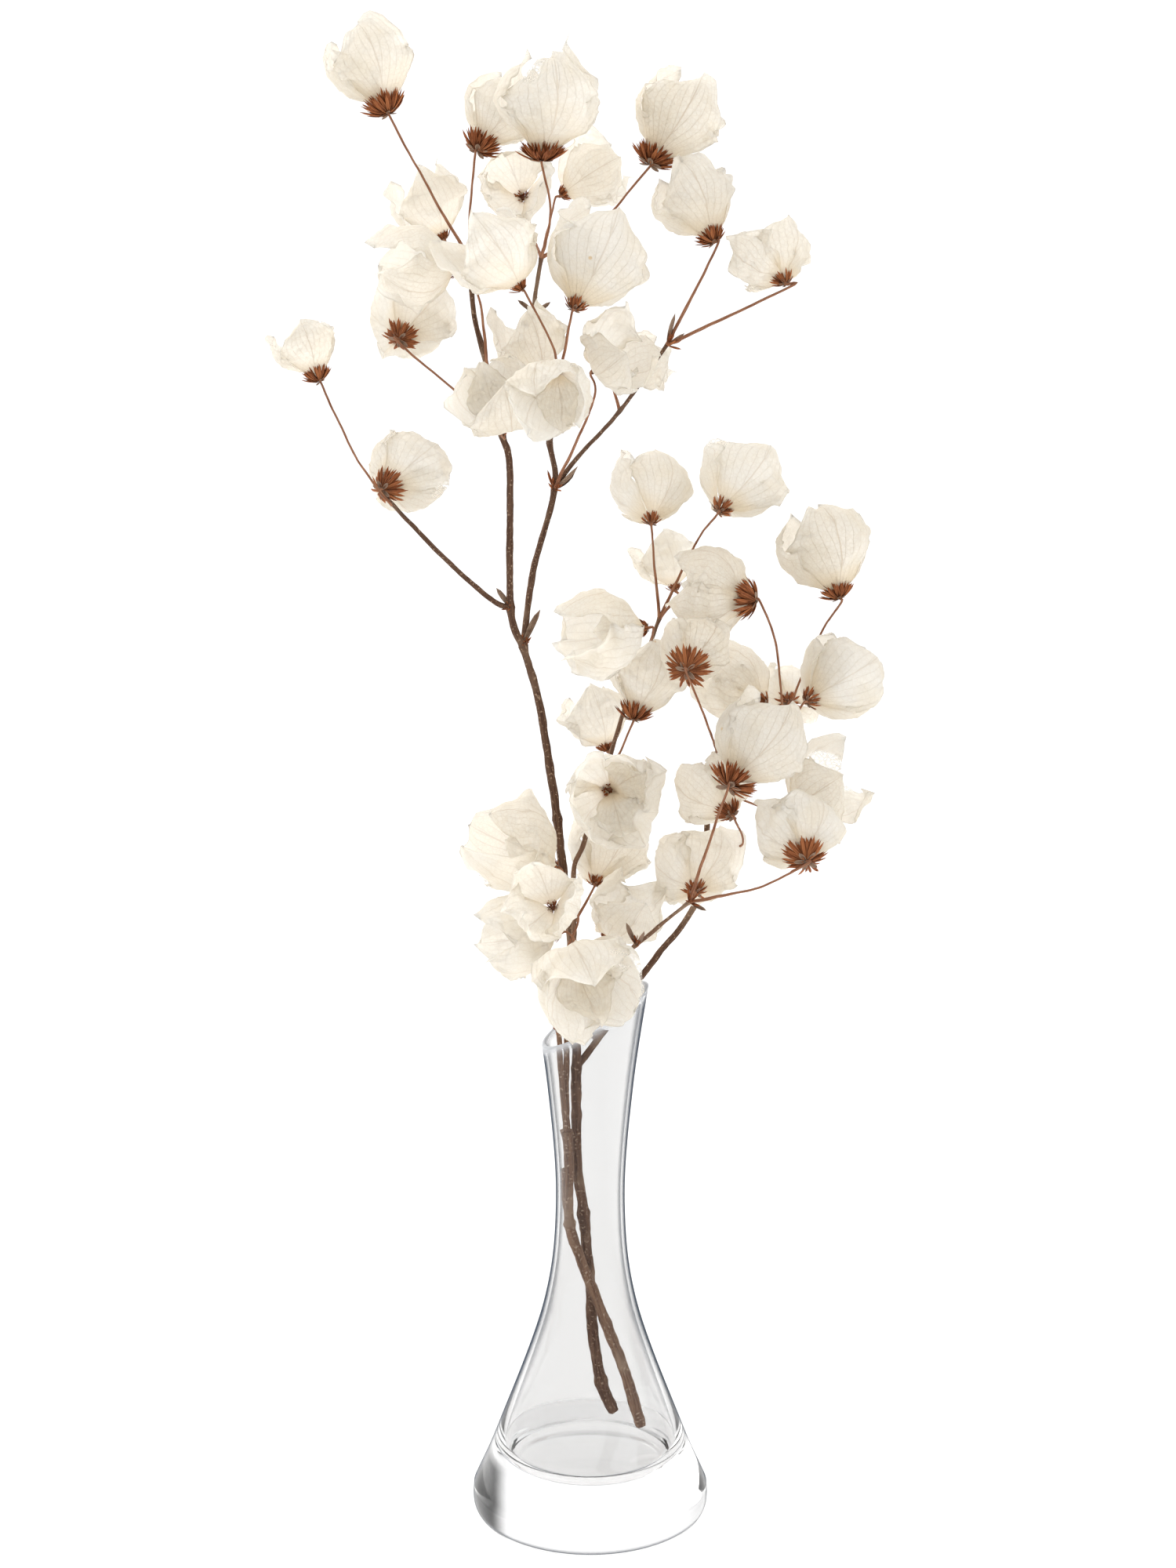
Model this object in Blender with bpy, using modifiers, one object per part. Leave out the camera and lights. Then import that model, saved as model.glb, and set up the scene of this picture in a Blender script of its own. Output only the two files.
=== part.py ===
"""Two cut branches of dried, bleached bougainvillea standing in a clear glass carafe.

The carafe is one thick-based blown piece with a slanted mouth. The branches stand loose in it,
on its floor and against its neck. Each branch is one woody body with its stalks, leaves and
toothed cups, and every bloom is a body of papery bracts that sits in its cup.

The origin is the middle of the carafe's underside, +Z is up and -Y is the front.
Lengths below are millimetres; MM turns them into the scene's metres.
"""

import math
import random
from collections import namedtuple

import bmesh
import bpy
from mathutils import Matrix, Vector

MM = 0.001

# The carafe, as (radius, height) places along its walls. Both walls run past the slanted mouth,
# which is then cut through its low left point and its high right one, given as (x, height).
GLASS_OUTSIDE = [(27.0, 255), (18.5, 196), (15.0, 143), (20.6, 96), (41.0, 37.5), (51.8, 12)]
GLASS_FOOT = [(51.8, 5), (50.4, 1.4), (47.0, 0), (0, 0)]
GLASS_FLOOR = [(0, 22), (20.0, 22.6), (31.0, 25.0), (36.2, 29.5)]
GLASS_INSIDE = [(37.4, 37), (18.5, 96), (13.2, 143), (16.7, 196), (25.2, 255)]
WALL_STEPS = 2
VASE_SIDES = 28
MOUTH_LOW = (-21.5, 214.5)
MOUTH_HIGH = (25.5, 242.2)
CUTTER_SIZE = 100

# Where the stems fork or end.
DARK_FORK = (-28, 0, 388)
SIDE_FORK = (-33, -5, 405)
SIDE_TIP = (-80, -24, 450)
LEFT_NODE = (-36, -8, 477)
LEFT_SHOOT = (-42, -10, 504)
LEFT_TIP = (-48, -8, 546)
RIGHT_NODE = (-15, 20, 451)
RIGHT_SHOOT = (-17, 20, 470)
RIGHT_TIP = (-20, 8, 547)
OUTER_NODE = (12, 5, 485)
OUTER_TIP = (31, -8, 513)
FRONT_NODE = (-14, 0, 486)
FRONT_TIP = (-13, -30, 500)
LIMB_ELBOW = (50, 28, 296)
LIMB_NODE = (50, 26, 324)
LIMB_TIP = (80, 2, 350)
PALE_KNOT = (-9, -2, 134)
PALE_SPLIT = (-10, -6, 178)
PALE_LEFT_TIP = (-15, -26, 254)
PALE_NODE = (-8, -2, 244)
PALE_MIDDLE = (-7, 0, 268)
PALE_FRONT_NODE = (19, -32, 268)
PALE_FRONT_TIP = (41, -31, 286)
PALE_TOP_NODE = (6, -8, 336)
CROWN_NODE = (29, 10, 398)

# Stems: the radius at the root and at the tip, and the places that the stem runs through.
STEM_BEVEL = 1
DARK_STEMS = {
    "trunk": (2.8, 1.55, [
        (10.9, 31.6, 30.1), (5, 29.5, 46), (1, 20.5, 76), (0, 13.5, 99), (-2, 7, 125), (-5, 3, 154),
        (-6, 0, 176), (-6, -3, 220), (-8, 5, 259), (-12, 8, 293), (-14, 8, 312), (-21, 5, 360),
        DARK_FORK,
    ]),
    "left_leader": (1.6, 0.9, [
        DARK_FORK, SIDE_FORK, (-33, -8, 462), LEFT_NODE, LEFT_SHOOT, (-47, -12, 527), LEFT_TIP,
    ]),
    "right_leader": (1.45, 0.8, [
        DARK_FORK, (-24, 12, 417), RIGHT_NODE, RIGHT_SHOOT, (-20, 18, 498), (-23, 14, 524),
        RIGHT_TIP,
    ]),
    "outer_twig": (1.0, 0.7, [RIGHT_NODE, (-6, 14, 464), OUTER_NODE, OUTER_TIP]),
    "front_twig": (0.95, 0.7, [RIGHT_SHOOT, FRONT_NODE, FRONT_TIP]),
    "side_twig": (1.25, 0.8, [SIDE_FORK, (-41, -9, 409), (-62, -18, 430), (-83, -25, 454)]),
    "low_limb": (1.5, 1.2, [
        (-6, -2, 205), (11, 0, 228), (22, 6, 243.4), (45, 24, 270), LIMB_ELBOW, LIMB_NODE,
    ]),
    "low_twig": (1.0, 0.7, [LIMB_NODE, (63, 22, 338), LIMB_TIP]),
}
PALE_STEMS = {
    "trunk": (2.7, 1.9, [
        (23.9, 20.9, 27.7), (16, 20, 55), (9, 16, 75), (1, 8, 99), (-5, 2, 118), PALE_KNOT,
        (-9, -4, 160), PALE_SPLIT,
    ]),
    "stub": (1.2, 1.2, [PALE_KNOT, (-10.8, -3, 146), (-11, -4, 160)]),
    "left_limb": (1.2, 0.8, [PALE_SPLIT, (-13.1, -12, 219), (-14, -18, 231), PALE_LEFT_TIP]),
    "right_limb": (1.3, 0.9, [
        PALE_SPLIT, (-9.9, -4.6, 217), PALE_NODE, PALE_MIDDLE, (-7, 0, 292), (-3, -2, 304),
        (3, -2, 324), PALE_TOP_NODE,
    ]),
    "front_twig": (0.95, 0.75, [PALE_NODE, (6, -20, 252), PALE_FRONT_NODE, PALE_FRONT_TIP]),
    "upper_twig": (1.0, 0.75, [PALE_TOP_NODE, (15, 4, 362), (24, 10, 384), CROWN_NODE]),
}

# Small dry leaves at the forks: the place, the way the leaf points, and its length.
LEAF_WIDTH_SHARE = 0.34
LEAF_NARROWING = 0.4
LEAF_RIDGE_SHARE = 0.4
LEAF_THICKNESS = 0.9
LEAF_CORNERS = 5
DARK_LEAVES = [
    (SIDE_FORK, (-0.7, -0.2, 0.7), 11), (DARK_FORK, (0.3, 0.1, 1.0), 16),
    (RIGHT_NODE, (0.8, -0.2, 0.6), 12), (RIGHT_NODE, (0.6, -0.5, 0.7), 16),
    (LEFT_NODE, (-0.8, -0.3, 0.5), 8), ((-23, 14, 524), (-0.8, 0, 0.6), 9),
    ((-23, 14, 524), (0.8, 0, 0.6), 9), (OUTER_TIP, (0.2, -0.3, 1.0), 14),
    (OUTER_TIP, (0.8, 0.4, 0.3), 9), (LIMB_NODE, (-0.7, 0.2, 0.7), 9),
]
PALE_LEAVES = [
    ((-13, -15, 225), (-0.6, -0.2, 0.8), 10), (PALE_FRONT_NODE, (-0.5, -0.3, 0.8), 11),
    (PALE_FRONT_NODE, (0.4, -0.6, 0.7), 9), (PALE_FRONT_TIP, (0.6, -0.5, -0.3), 9),
    (PALE_TOP_NODE, (-0.3, -0.5, 0.9), 9),
]

# Blooms: where the cup sits, the way it faces, the radius of the papery globe, the radius of the
# cup, how far the bracts spread (0 shut, 1 wide), how many bracts, and the stalk's route.
Bloom = namedtuple("Bloom", "place facing globe cup spread bracts stalk")
DARK_BLOOMS = {
    "top_left": Bloom((-81, -10, 606), (-0.38, 0.3, 0.87), 16.5, 10, 0.25, 5, [LEFT_TIP, (-66, -9, 577)]),
    "top_second": Bloom((-45, 12, 591), (0.47, 0.43, 0.78), 15, 9.5, 0.1, 4, [LEFT_TIP, (-49, 6, 561)]),
    "top_middle": Bloom((-19, -20, 588), (0.05, 0, 1), 19, 10.5, 0.05, 5, [RIGHT_TIP, (-16, -8, 566)]),
    "top_right": Bloom((25, 5, 586), (0.48, 0.3, 0.83), 17, 10, 0.05, 5, [RIGHT_TIP, (5, 5, 562)]),
    "inner_back": Bloom((-28, 42, 570), (-0.19, -0.92, 0.35), 14, 4.5, 0.6, 3, [RIGHT_TIP, (-24, 42, 555)]),
    "far_back": Bloom((-12, 60, 571), (0.84, 0.16, 0.51), 15, 4.5, 0.3, 3, [RIGHT_TIP, (-18, 40, 556)]),
    "left_back": Bloom((-61, 35, 554), (-0.41, 0.1, 0.91), 14.5, 4.5, 0.3, 3, [LEFT_TIP, (-56, 18, 547)]),
    "left_globe": Bloom((-53, -25, 544), (-0.97, -0.23, 0.08), 15, 5, 0, 3, [LEFT_SHOOT, (-44, -20, 530)]),
    "left_star": Bloom((-77, -12, 516), (0.16, 0.92, 0.36), 16.5, 8, 0.5, 4, [LEFT_NODE, (-53, -12, 493)]),
    "front_left": Bloom((-27, -50, 538), (-0.61, 0, 0.8), 17, 5, 0.45, 4, [FRONT_TIP, (-15, -44, 515)]),
    "front_globe": Bloom((-6, -55, 531), (0.35, 0.48, 0.8), 19.5, 6, 0.1, 5, [FRONT_TIP]),
    "right_upper": Bloom((49, -10, 555), (-0.41, 0.39, 0.83), 16, 7.5, 0.15, 4, [OUTER_TIP]),
    "right_far": Bloom((77, -25, 539), (-0.35, 0.68, 0.64), 15, 5.5, 0.9, 4, [OUTER_TIP]),
    "middle_left": Bloom((-35, -38, 481), (-0.12, -0.57, 0.81), 16.5, 4, 0.4, 4, [LEFT_NODE]),
    "middle_low": Bloom((-13, -60, 508), (-0.14, -0.81, -0.57), 15.5, 4, 0.35, 4, [FRONT_TIP]),
    "middle_right": Bloom((2, -22, 504), (0.6, -0.64, 0.48), 15.5, 5, 0.5, 4, [RIGHT_NODE, (1, -18, 491)]),
    "middle_small": Bloom((12, 16, 498), (0.9, 0.2, 0.45), 11.5, 4, 0.4, 3, [OUTER_NODE]),
    "middle_inner": Bloom((-20, -18, 502), (-0.29, -0.1, 0.95), 13.5, 4, 0.3, 3, [FRONT_NODE]),
    "far_left": Bloom((-111, 0, 499), (-0.4, 0.3, 0.86), 12.5, 7, 0.55, 4, [
        SIDE_TIP, (-86, -28, 458), (-96, -19, 471),
    ]),
    "side_left": Bloom((-83, -25, 457), (0.45, 0.87, 0.2), 16.5, 9, 0.2, 4, [SIDE_TIP]),
    "low_fan": Bloom((39, -46, 387), (0.18, 0.95, 0.27), 14, 10, 0.3, 4, [
        LIMB_NODE, (53, 4, 338), (49, -32, 358),
    ]),
    "low_left_ear": Bloom((73, 3, 363), (-0.75, 0.55, 0.36), 15.5, 5.5, 0.3, 4, [LIMB_TIP]),
    "low_right_ear": Bloom((90, -15, 368), (0.66, 0.6, 0.3), 18, 6, 0.25, 4, [LIMB_TIP, (82, -9, 354)]),
    "low_back_ear": Bloom((84, 15, 361), (0.03, 0.99, -0.11), 14, 6, 0.3, 3, [LIMB_TIP]),
    "right_point": Bloom((102, -10, 411), (-0.28, 0.38, 0.88), 19, 8, 0.1, 5, [
        LIMB_TIP, (89, 16, 371), (97, 8, 393),
    ]),
    "right_cup": Bloom((66, -16, 410), (-0.91, 0.4, 0.12), 17.5, 10, 0.35, 4, [
        LIMB_TIP, (80, -8, 363), (76, -16, 392),
    ]),
    "low_behind": Bloom((58, -24, 322), (-0.44, 0.8, 0.39), 14.5, 7, 0.3, 3, [LIMB_ELBOW, (64, 2, 302)]),
    "low_outer": Bloom((85, 0, 319), (0.76, -0.3, 0.58), 17, 4, 0.4, 4, [LIMB_NODE, (70, 14, 317)]),
}
PALE_BLOOMS = {
    "crown": Bloom((25, 0, 440), (-0.05, 0.72, 0.69), 16, 5, 0, 4, [CROWN_NODE, (26, 3, 428)]),
    "crown_right": Bloom((53, -15, 447), (0.45, 0.7, 0.55), 17, 6, 0.3, 4, [CROWN_NODE, (43, 0, 430)]),
    "crown_small": Bloom((36, 26, 408), (-0.3, 0.35, 0.88), 12.5, 4, 0.5, 3, [CROWN_NODE]),
    "left_ear": Bloom((22, -38, 402), (-0.93, -0.37, -0.06), 17.5, 5, 0.15, 4, [
        (24, 10, 384), (25, -25, 396),
    ]),
    "column": Bloom((18, -18, 362), (0.26, 0.33, 0.91), 15.5, 9, 0.2, 4, [PALE_TOP_NODE, (12, -18, 346)]),
    "column_back": Bloom((7, 20, 340), (-0.32, 0.25, 0.91), 14, 5, 0.4, 3, [(3, -2, 324)]),
    "fan_cup": Bloom((57, -50, 341), (0.51, 0.56, 0.65), 18.5, 11, 0.1, 5, [PALE_FRONT_TIP]),
    "outer_star": Bloom((87, -52, 310), (-0.15, 0.91, 0.38), 16.5, 10, 0.4, 4, [
        PALE_FRONT_TIP, (68, -50, 297),
    ]),
    "open_face": Bloom((8, -14, 330), (0.09, -1, 0.02), 19, 6, 0.55, 5, [(1, -2, 318)]),
    "fork": Bloom((44, -17, 287), (-0.02, 0.95, 0.3), 17, 6, 0.5, 4, [PALE_FRONT_TIP]),
    "low_left": Bloom((-15, -15, 297), (-0.81, -0.31, 0.5), 19, 4, 0.1, 4, [(-7, 0, 280)]),
    "low_back": Bloom((2, 8, 284), (0.28, 0.72, 0.63), 17, 5, 0.35, 4, [PALE_MIDDLE]),
    "rim_left": Bloom((-13, -35, 274), (-0.98, -0.18, -0.05), 17.5, 5, 0.35, 4, [
        PALE_LEFT_TIP, (-7, -32, 268),
    ]),
    "rim_front": Bloom((-8, -45, 268), (0.29, -0.88, -0.37), 21, 6, 0.35, 5, [
        PALE_LEFT_TIP, (-12, -35, 264),
    ]),
    "front_small": Bloom((-15, -62, 292), (-0.19, -0.87, 0.45), 14, 4, 0.5, 3, [
        PALE_LEFT_TIP, (-5, -36, 280),
    ]),
    "rim_right": Bloom((6, -4, 264), (0.55, -0.3, 0.78), 15.5, 4, 0.35, 3, [PALE_NODE]),
}

# A stalk is a thin twig that meets its cup straight on over the length of its neck.
STALK_BEVEL = 0
STALK_RADIUS = 0.55
STALK_ROOT_RADIUS = 0.7
NECK_LENGTH = 6.0

# The toothed cup under a bloom: a shallow star-edged cone.
CUP_SLOPE = math.radians(14)
CUP_NOTCH_SHARE = 0.7
CUP_DEPTH_SHARE = 0.28
CUP_TEETH_PER_MM = 0.7
CUP_LEAST_TEETH = 5

# A bract: a thin ovate blade that curls from the hub up round the globe. The outer three stand
# a little askew, and the inner ones fill the gaps between them from inside. Shares are of the
# globe's radius, and angles are the slope of the blade's midrib, from 0 (flat) to 180 (over).
HUB_GAP = 0.8
HUB_HEIGHT = 4.0
HUB_RADIUS = 2.2
HUB_FOOT_RADIUS = 1.9
HUB_SIDES = 6
BRACT_ROOT_RADIUS = 1.0
BRACT_THICKNESS = 0.66
BRACT_ACROSS = 2
SMALL_GLOBE = 16.6
SMALL_STEPS = 3
OUTER_BRACTS = 3
OUTER = {
    "steps": 4, "root": 1.5, "start": 14, "reach": 0.92, "tall": 2.06, "half": 0.92,
    "close": 0, "lap": 0.8, "wave": 0.06,
}
INNER = {
    "steps": 2, "root": 2.7, "start": 30, "reach": 0.62, "tall": 1.9, "half": 0.5,
    "close": 29, "lap": 0, "wave": 0.04,
}
SHUT_STOP = 154
WIDE_STOP = 100
SPREAD_RANGE = (0.8, 1.15)
SIZE_RANGE = (0.95, 1.03)
WIDTH_RANGE = (0.94, 1.0)
CUPPING_RANGE = (1.05, 1.5)
WAVE_RANGE = (0.5, 1.3)
WAVES = 9.0
TURN_RANGE = (-0.07, 0.07)
WIDEST = 0.9
FULLNESS = 0.8
ROOT_CALM = 4

# Faces that meet at less than this are one flat face, so a union leaves no needless points.
FLAT_ANGLE = math.radians(6)
CREASE_ANGLE = math.radians(40)
WELD = 0.00001

GLASS_COLOUR = (0.93, 0.96, 0.97, 1)
DARK_WOOD_COLOUR = (0.17, 0.085, 0.05, 1)
PALE_WOOD_COLOUR = (0.3, 0.17, 0.1, 1)
BRACT_COLOUR = (0.9, 0.83, 0.68, 1)


def clear_scene():
    for obj in list(bpy.data.objects):
        bpy.data.objects.remove(obj)


def collection(name):
    made = bpy.data.collections.new(name)
    bpy.context.scene.collection.children.link(made)
    return made


def material(name, colour, roughness, transmission=0.0):
    made = bpy.data.materials.new(name)
    made.use_nodes = True
    shader = made.node_tree.nodes["Principled BSDF"]
    shader.inputs["Base Color"].default_value = colour
    shader.inputs["Roughness"].default_value = roughness
    shader.inputs["Metallic"].default_value = 0.0
    shader.inputs["Transmission Weight"].default_value = transmission
    made.diffuse_color = colour
    return made


def new_object(name, mesh, group):
    obj = bpy.data.objects.new(name, mesh)
    group.objects.link(obj)
    return obj


def evaluated_mesh(obj):
    graph = bpy.context.evaluated_depsgraph_get()
    return bpy.data.meshes.new_from_object(obj.evaluated_get(graph))


def mesh_from(bm, name):
    """A mesh of the given faces, turned to point outwards."""
    bmesh.ops.recalc_face_normals(bm, faces=bm.faces)
    if bm.calc_volume(signed=True) < 0:
        bmesh.ops.reverse_faces(bm, faces=bm.faces)
    mesh = bpy.data.meshes.new(name)
    bm.to_mesh(mesh)
    bm.free()
    return mesh


def frame_facing(direction):
    """The axes of a frame whose third axis is the given direction."""
    axis = Vector(direction).normalized()
    first = axis.orthogonal().normalized()
    return first, axis.cross(first), axis


def smooth_line(places, steps):
    """Points along a Catmull-Rom curve through the places, with this many steps between two."""
    points = [Vector((radius, 0, height)) for radius, height in places]
    ends = [points[0] * 2 - points[1], *points, points[-1] * 2 - points[-2]]
    line = []
    for before, start, stop, after in zip(ends, ends[1:], ends[2:], ends[3:]):
        for step in range(steps):
            t = step / steps
            line.append(0.5 * (
                2 * start + (stop - before) * t
                + (2 * before - 5 * start + 4 * stop - after) * t * t
                + (3 * start - before - 3 * stop + after) * t ** 3
            ))
    return [*line, points[-1]]


def shells_of(bm):
    """The separate closed shells of a mesh, as lists of faces."""
    unseen = set(bm.faces)
    while unseen:
        shell, waiting = [], [unseen.pop()]
        while waiting:
            face = waiting.pop()
            shell.append(face)
            near = {other for side in face.edges for other in side.link_faces} & unseen
            unseen -= near
            waiting.extend(near)
        yield shell


def shell_volume(shell):
    """The volume inside a shell, below zero for the wall of a sealed hollow."""
    return sum(
        face.verts[0].co.dot(face.verts[step].co.cross(face.verts[step + 1].co))
        for face in shell for step in range(1, len(face.verts) - 1)
    ) / 6


def fused(name, pieces, group, finish):
    """One body from closed pieces that overlap, joined in a single Boolean union.

    A hollow that the pieces seal between them is filled, and a loose scrap is dropped.
    """
    base, others = pieces[0], pieces[1:]
    joining = collection(name + "_pieces")
    for piece in others:
        group.objects.unlink(piece)
        joining.objects.link(piece)
    union = base.modifiers.new("join", "BOOLEAN")
    union.operation = "UNION"
    union.operand_type = "COLLECTION"
    union.collection = joining
    union.solver = "MANIFOLD"
    mesh = evaluated_mesh(base)
    mesh.name = name
    for piece in pieces:
        bpy.data.objects.remove(piece)
    bpy.data.collections.remove(joining)

    bm = bmesh.new()
    bm.from_mesh(mesh)
    shells = sorted(shells_of(bm), key=shell_volume)
    loose = [face for shell in shells[:-1] for face in shell]
    bmesh.ops.delete(bm, geom=loose, context="FACES")
    bmesh.ops.dissolve_limit(bm, angle_limit=FLAT_ANGLE, verts=bm.verts, edges=bm.edges)
    bmesh.ops.triangulate(bm, faces=bm.faces)
    bm.to_mesh(mesh)
    bm.free()
    mesh.materials.clear()
    mesh.materials.append(finish)
    mesh.shade_smooth()
    mesh.set_sharp_from_angle(angle=CREASE_ANGLE)
    return new_object(name, mesh, group)


def make_mouth_cutter(group):
    """A block whose underside lies along the slanted mouth."""
    slope = (MOUTH_HIGH[1] - MOUTH_LOW[1]) / (MOUTH_HIGH[0] - MOUTH_LOW[0])
    middle = Vector((0, 0, MOUTH_LOW[1] - slope * MOUTH_LOW[0]))
    raised = Vector((-slope, 0, 1)).normalized() * CUTTER_SIZE / 2
    bpy.ops.mesh.primitive_cube_add(size=CUTTER_SIZE * MM)
    cutter = bpy.context.object
    cutter.name = "mouth_cutter"
    cutter.rotation_euler = (0, -math.atan(slope), 0)
    cutter.location = (middle + raised) * MM
    cutter.hide_render = True
    cutter.display_type = "WIRE"
    for home in list(cutter.users_collection):
        home.objects.unlink(cutter)
    group.objects.link(cutter)
    return cutter


def make_vase(cutter, group, finish):
    """The carafe: a turned profile, from its floor up the inside and down the outside."""
    profile = [
        *(Vector((radius, 0, height)) for radius, height in GLASS_FLOOR),
        *smooth_line(GLASS_INSIDE, WALL_STEPS),
        *smooth_line(GLASS_OUTSIDE, WALL_STEPS),
        *(Vector((radius, 0, height)) for radius, height in GLASS_FOOT),
    ]
    mesh = bpy.data.meshes.new("vase")
    edges = [(step, step + 1) for step in range(len(profile) - 1)]
    mesh.from_pydata([point * MM for point in profile], edges, [])
    mesh.materials.append(finish)
    vase = new_object("vase", mesh, group)
    turn = vase.modifiers.new("turn", "SCREW")
    turn.steps = turn.render_steps = VASE_SIDES
    turn.use_merge_vertices = True
    turn.merge_threshold = WELD
    turn.use_smooth_shade = True
    cut = vase.modifiers.new("slanted_mouth", "BOOLEAN")
    cut.operation = "DIFFERENCE"
    cut.object = cutter
    return vase


def make_rod(places, root_radius, tip_radius, bevel, group):
    """A tapering stem through the given places, as a closed mesh."""
    curve = bpy.data.curves.new("rod", "CURVE")
    curve.dimensions = "3D"
    curve.bevel_depth = MM
    curve.bevel_resolution = bevel
    curve.use_fill_caps = True
    spline = curve.splines.new("POLY")
    spline.points.add(len(places) - 1)
    for step, (point, place) in enumerate(zip(spline.points, places)):
        share = step / (len(places) - 1)
        point.co = (*(Vector(place) * MM), 1)
        point.radius = root_radius + (tip_radius - root_radius) * share
    rod = new_object("rod", curve, group)
    bm = bmesh.new()
    bm.from_mesh(evaluated_mesh(rod))
    bmesh.ops.remove_doubles(bm, verts=bm.verts, dist=WELD)
    bpy.data.objects.remove(rod)
    return new_object("rod", mesh_from(bm, "rod"), group)


def make_leaf(place, direction, length, group):
    """A small dry leaf: a pointed blade, thickest along its middle."""
    side, face, axis = frame_facing(direction)
    bm = bmesh.new()
    bmesh.ops.create_cone(
        bm, cap_ends=True, cap_tris=True, segments=LEAF_CORNERS, radius1=1, radius2=0, depth=1
    )
    for vertex in bm.verts:
        on_edge = vertex.co.xy.length > 0.5
        raised = 0 if on_edge else math.copysign(LEAF_THICKNESS / 2, vertex.co.z)
        along = (1 + vertex.co.y) / 2 if on_edge else LEAF_RIDGE_SHARE
        half = length * LEAF_WIDTH_SHARE / 2 * vertex.co.x * (1 - LEAF_NARROWING * along)
        vertex.co = (Vector(place) + axis * length * along + side * half + face * raised) * MM
    return new_object("leaf", mesh_from(bm, "leaf"), group)


def make_cup(bloom, group):
    """The toothed cup that a bloom sits in: a cone below, a flatter one above and a star edge."""
    first, second, axis = frame_facing(bloom.facing)
    teeth = max(CUP_LEAST_TEETH, round(bloom.cup * CUP_TEETH_PER_MM))
    bm = bmesh.new()
    bmesh.ops.create_cone(
        bm, cap_ends=True, cap_tris=True, segments=2 * teeth, radius1=1, radius2=0, depth=1
    )
    for vertex in bm.verts:
        if vertex.co.xy.length < 0.5:
            offset = axis * (0 if vertex.co.z > 0 else -bloom.cup * CUP_DEPTH_SHARE)
        else:
            spread = first * vertex.co.x + second * vertex.co.y
            step = round(math.atan2(vertex.co.y, vertex.co.x) / math.tau * 2 * teeth)
            reach = bloom.cup * (1 if step % 2 else CUP_NOTCH_SHARE)
            offset = (spread + axis * math.tan(CUP_SLOPE)) * reach
        vertex.co = (Vector(bloom.place) + offset) * MM
    return new_object("cup", mesh_from(bm, "cup"), group)


def bract_plan(draw, index, bloom):
    """The sizes of one bract of a bloom."""
    kind = INNER if index >= OUTER_BRACTS else OUTER
    size = bloom.globe
    turn = (index + (0.5 if kind is INNER else 0)) / OUTER_BRACTS
    stop = SHUT_STOP + (WIDE_STOP - SHUT_STOP) * bloom.spread * draw.uniform(*SPREAD_RANGE)
    return {
        "steps": min(kind["steps"], SMALL_STEPS) if size < SMALL_GLOBE else kind["steps"],
        "root": kind["root"],
        "turn": math.tau * turn + draw.uniform(*TURN_RANGE),
        "start": math.radians(kind["start"]),
        "stop": math.radians(stop - kind["close"]),
        "reach": size * kind["reach"] * draw.uniform(*SIZE_RANGE),
        "tall": size * kind["tall"] * draw.uniform(*SIZE_RANGE),
        "half": size * kind["half"] * draw.uniform(*WIDTH_RANGE),
        "cupping": size * draw.uniform(*CUPPING_RANGE),
        "wave": size * kind["wave"] * draw.uniform(*WAVE_RANGE),
        "phase": (draw.uniform(0, math.tau), draw.uniform(0, math.tau)),
        "lap": kind["lap"],
        "drift": draw.uniform(*TURN_RANGE),
    }


def bract_place(plan, along, across):
    """Where a bract's surface is, in its bloom's frame: along runs 0 to 1, across -1 to 1."""
    start = plan["start"]
    slope = start + (plan["stop"] - start) * along
    outward = (math.sin(slope) - math.sin(start)) / (1 - math.sin(start))
    upward = (math.cos(start) - math.cos(slope)) / (math.cos(start) + 1)
    reach = BRACT_ROOT_RADIUS + plan["reach"] * outward
    height = plan["root"] + plan["tall"] * upward
    outline = math.sin(math.pi * along ** WIDEST) ** FULLNESS if along < 1 else 0
    angle = plan["half"] * outline * across / plan["cupping"]
    sideways = plan["cupping"] * math.sin(angle)
    ripple = plan["wave"] * math.sin(plan["phase"][across > 0] + WAVES * along)
    proud = (ripple * abs(across) + plan["lap"] * across) * min(1, ROOT_CALM * along)
    proud -= plan["cupping"] * (1 - math.cos(angle))
    reach += proud * math.sin(slope)
    height -= proud * math.cos(slope)
    turn = plan["turn"] + plan["drift"] * along
    return Vector((
        reach * math.cos(turn) - sideways * math.sin(turn),
        reach * math.sin(turn) + sideways * math.cos(turn),
        height,
    ))


def make_bract(plan, place, axes, group):
    """One thin bract as a closed blade."""
    bm = bmesh.new()
    bmesh.ops.create_grid(bm, x_segments=BRACT_ACROSS, y_segments=plan["steps"], size=1)
    first, second, axis = axes
    for vertex in bm.verts:
        spot = bract_place(plan, (vertex.co.y + 1) / 2, vertex.co.x)
        vertex.co = (Vector(place) + first * spot.x + second * spot.y + axis * spot.z) * MM
    bmesh.ops.remove_doubles(bm, verts=bm.verts, dist=WELD)
    bmesh.ops.triangulate(bm, faces=bm.faces)
    sheet = new_object("bract", mesh_from(bm, "bract"), group)
    paper = sheet.modifiers.new("paper", "SOLIDIFY")
    paper.thickness = BRACT_THICKNESS * MM
    paper.offset = 0
    mesh = evaluated_mesh(sheet)
    bpy.data.objects.remove(sheet)
    return new_object("bract", mesh, group)


def make_hub(place, axes, group):
    """The small hub in the cup that a bloom's bracts grow from, with a flat side for each."""
    middle = Vector(place) + axes[2] * (HUB_GAP + HUB_HEIGHT / 2)
    turned = Matrix(axes).transposed().to_4x4()
    bm = bmesh.new()
    bmesh.ops.create_cone(
        bm, cap_ends=True, segments=HUB_SIDES, radius1=HUB_FOOT_RADIUS * MM, radius2=HUB_RADIUS * MM,
        depth=HUB_HEIGHT * MM, matrix=Matrix.Translation(middle * MM) @ turned,
    )
    return new_object("hub", mesh_from(bm, "hub"), group)


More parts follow.
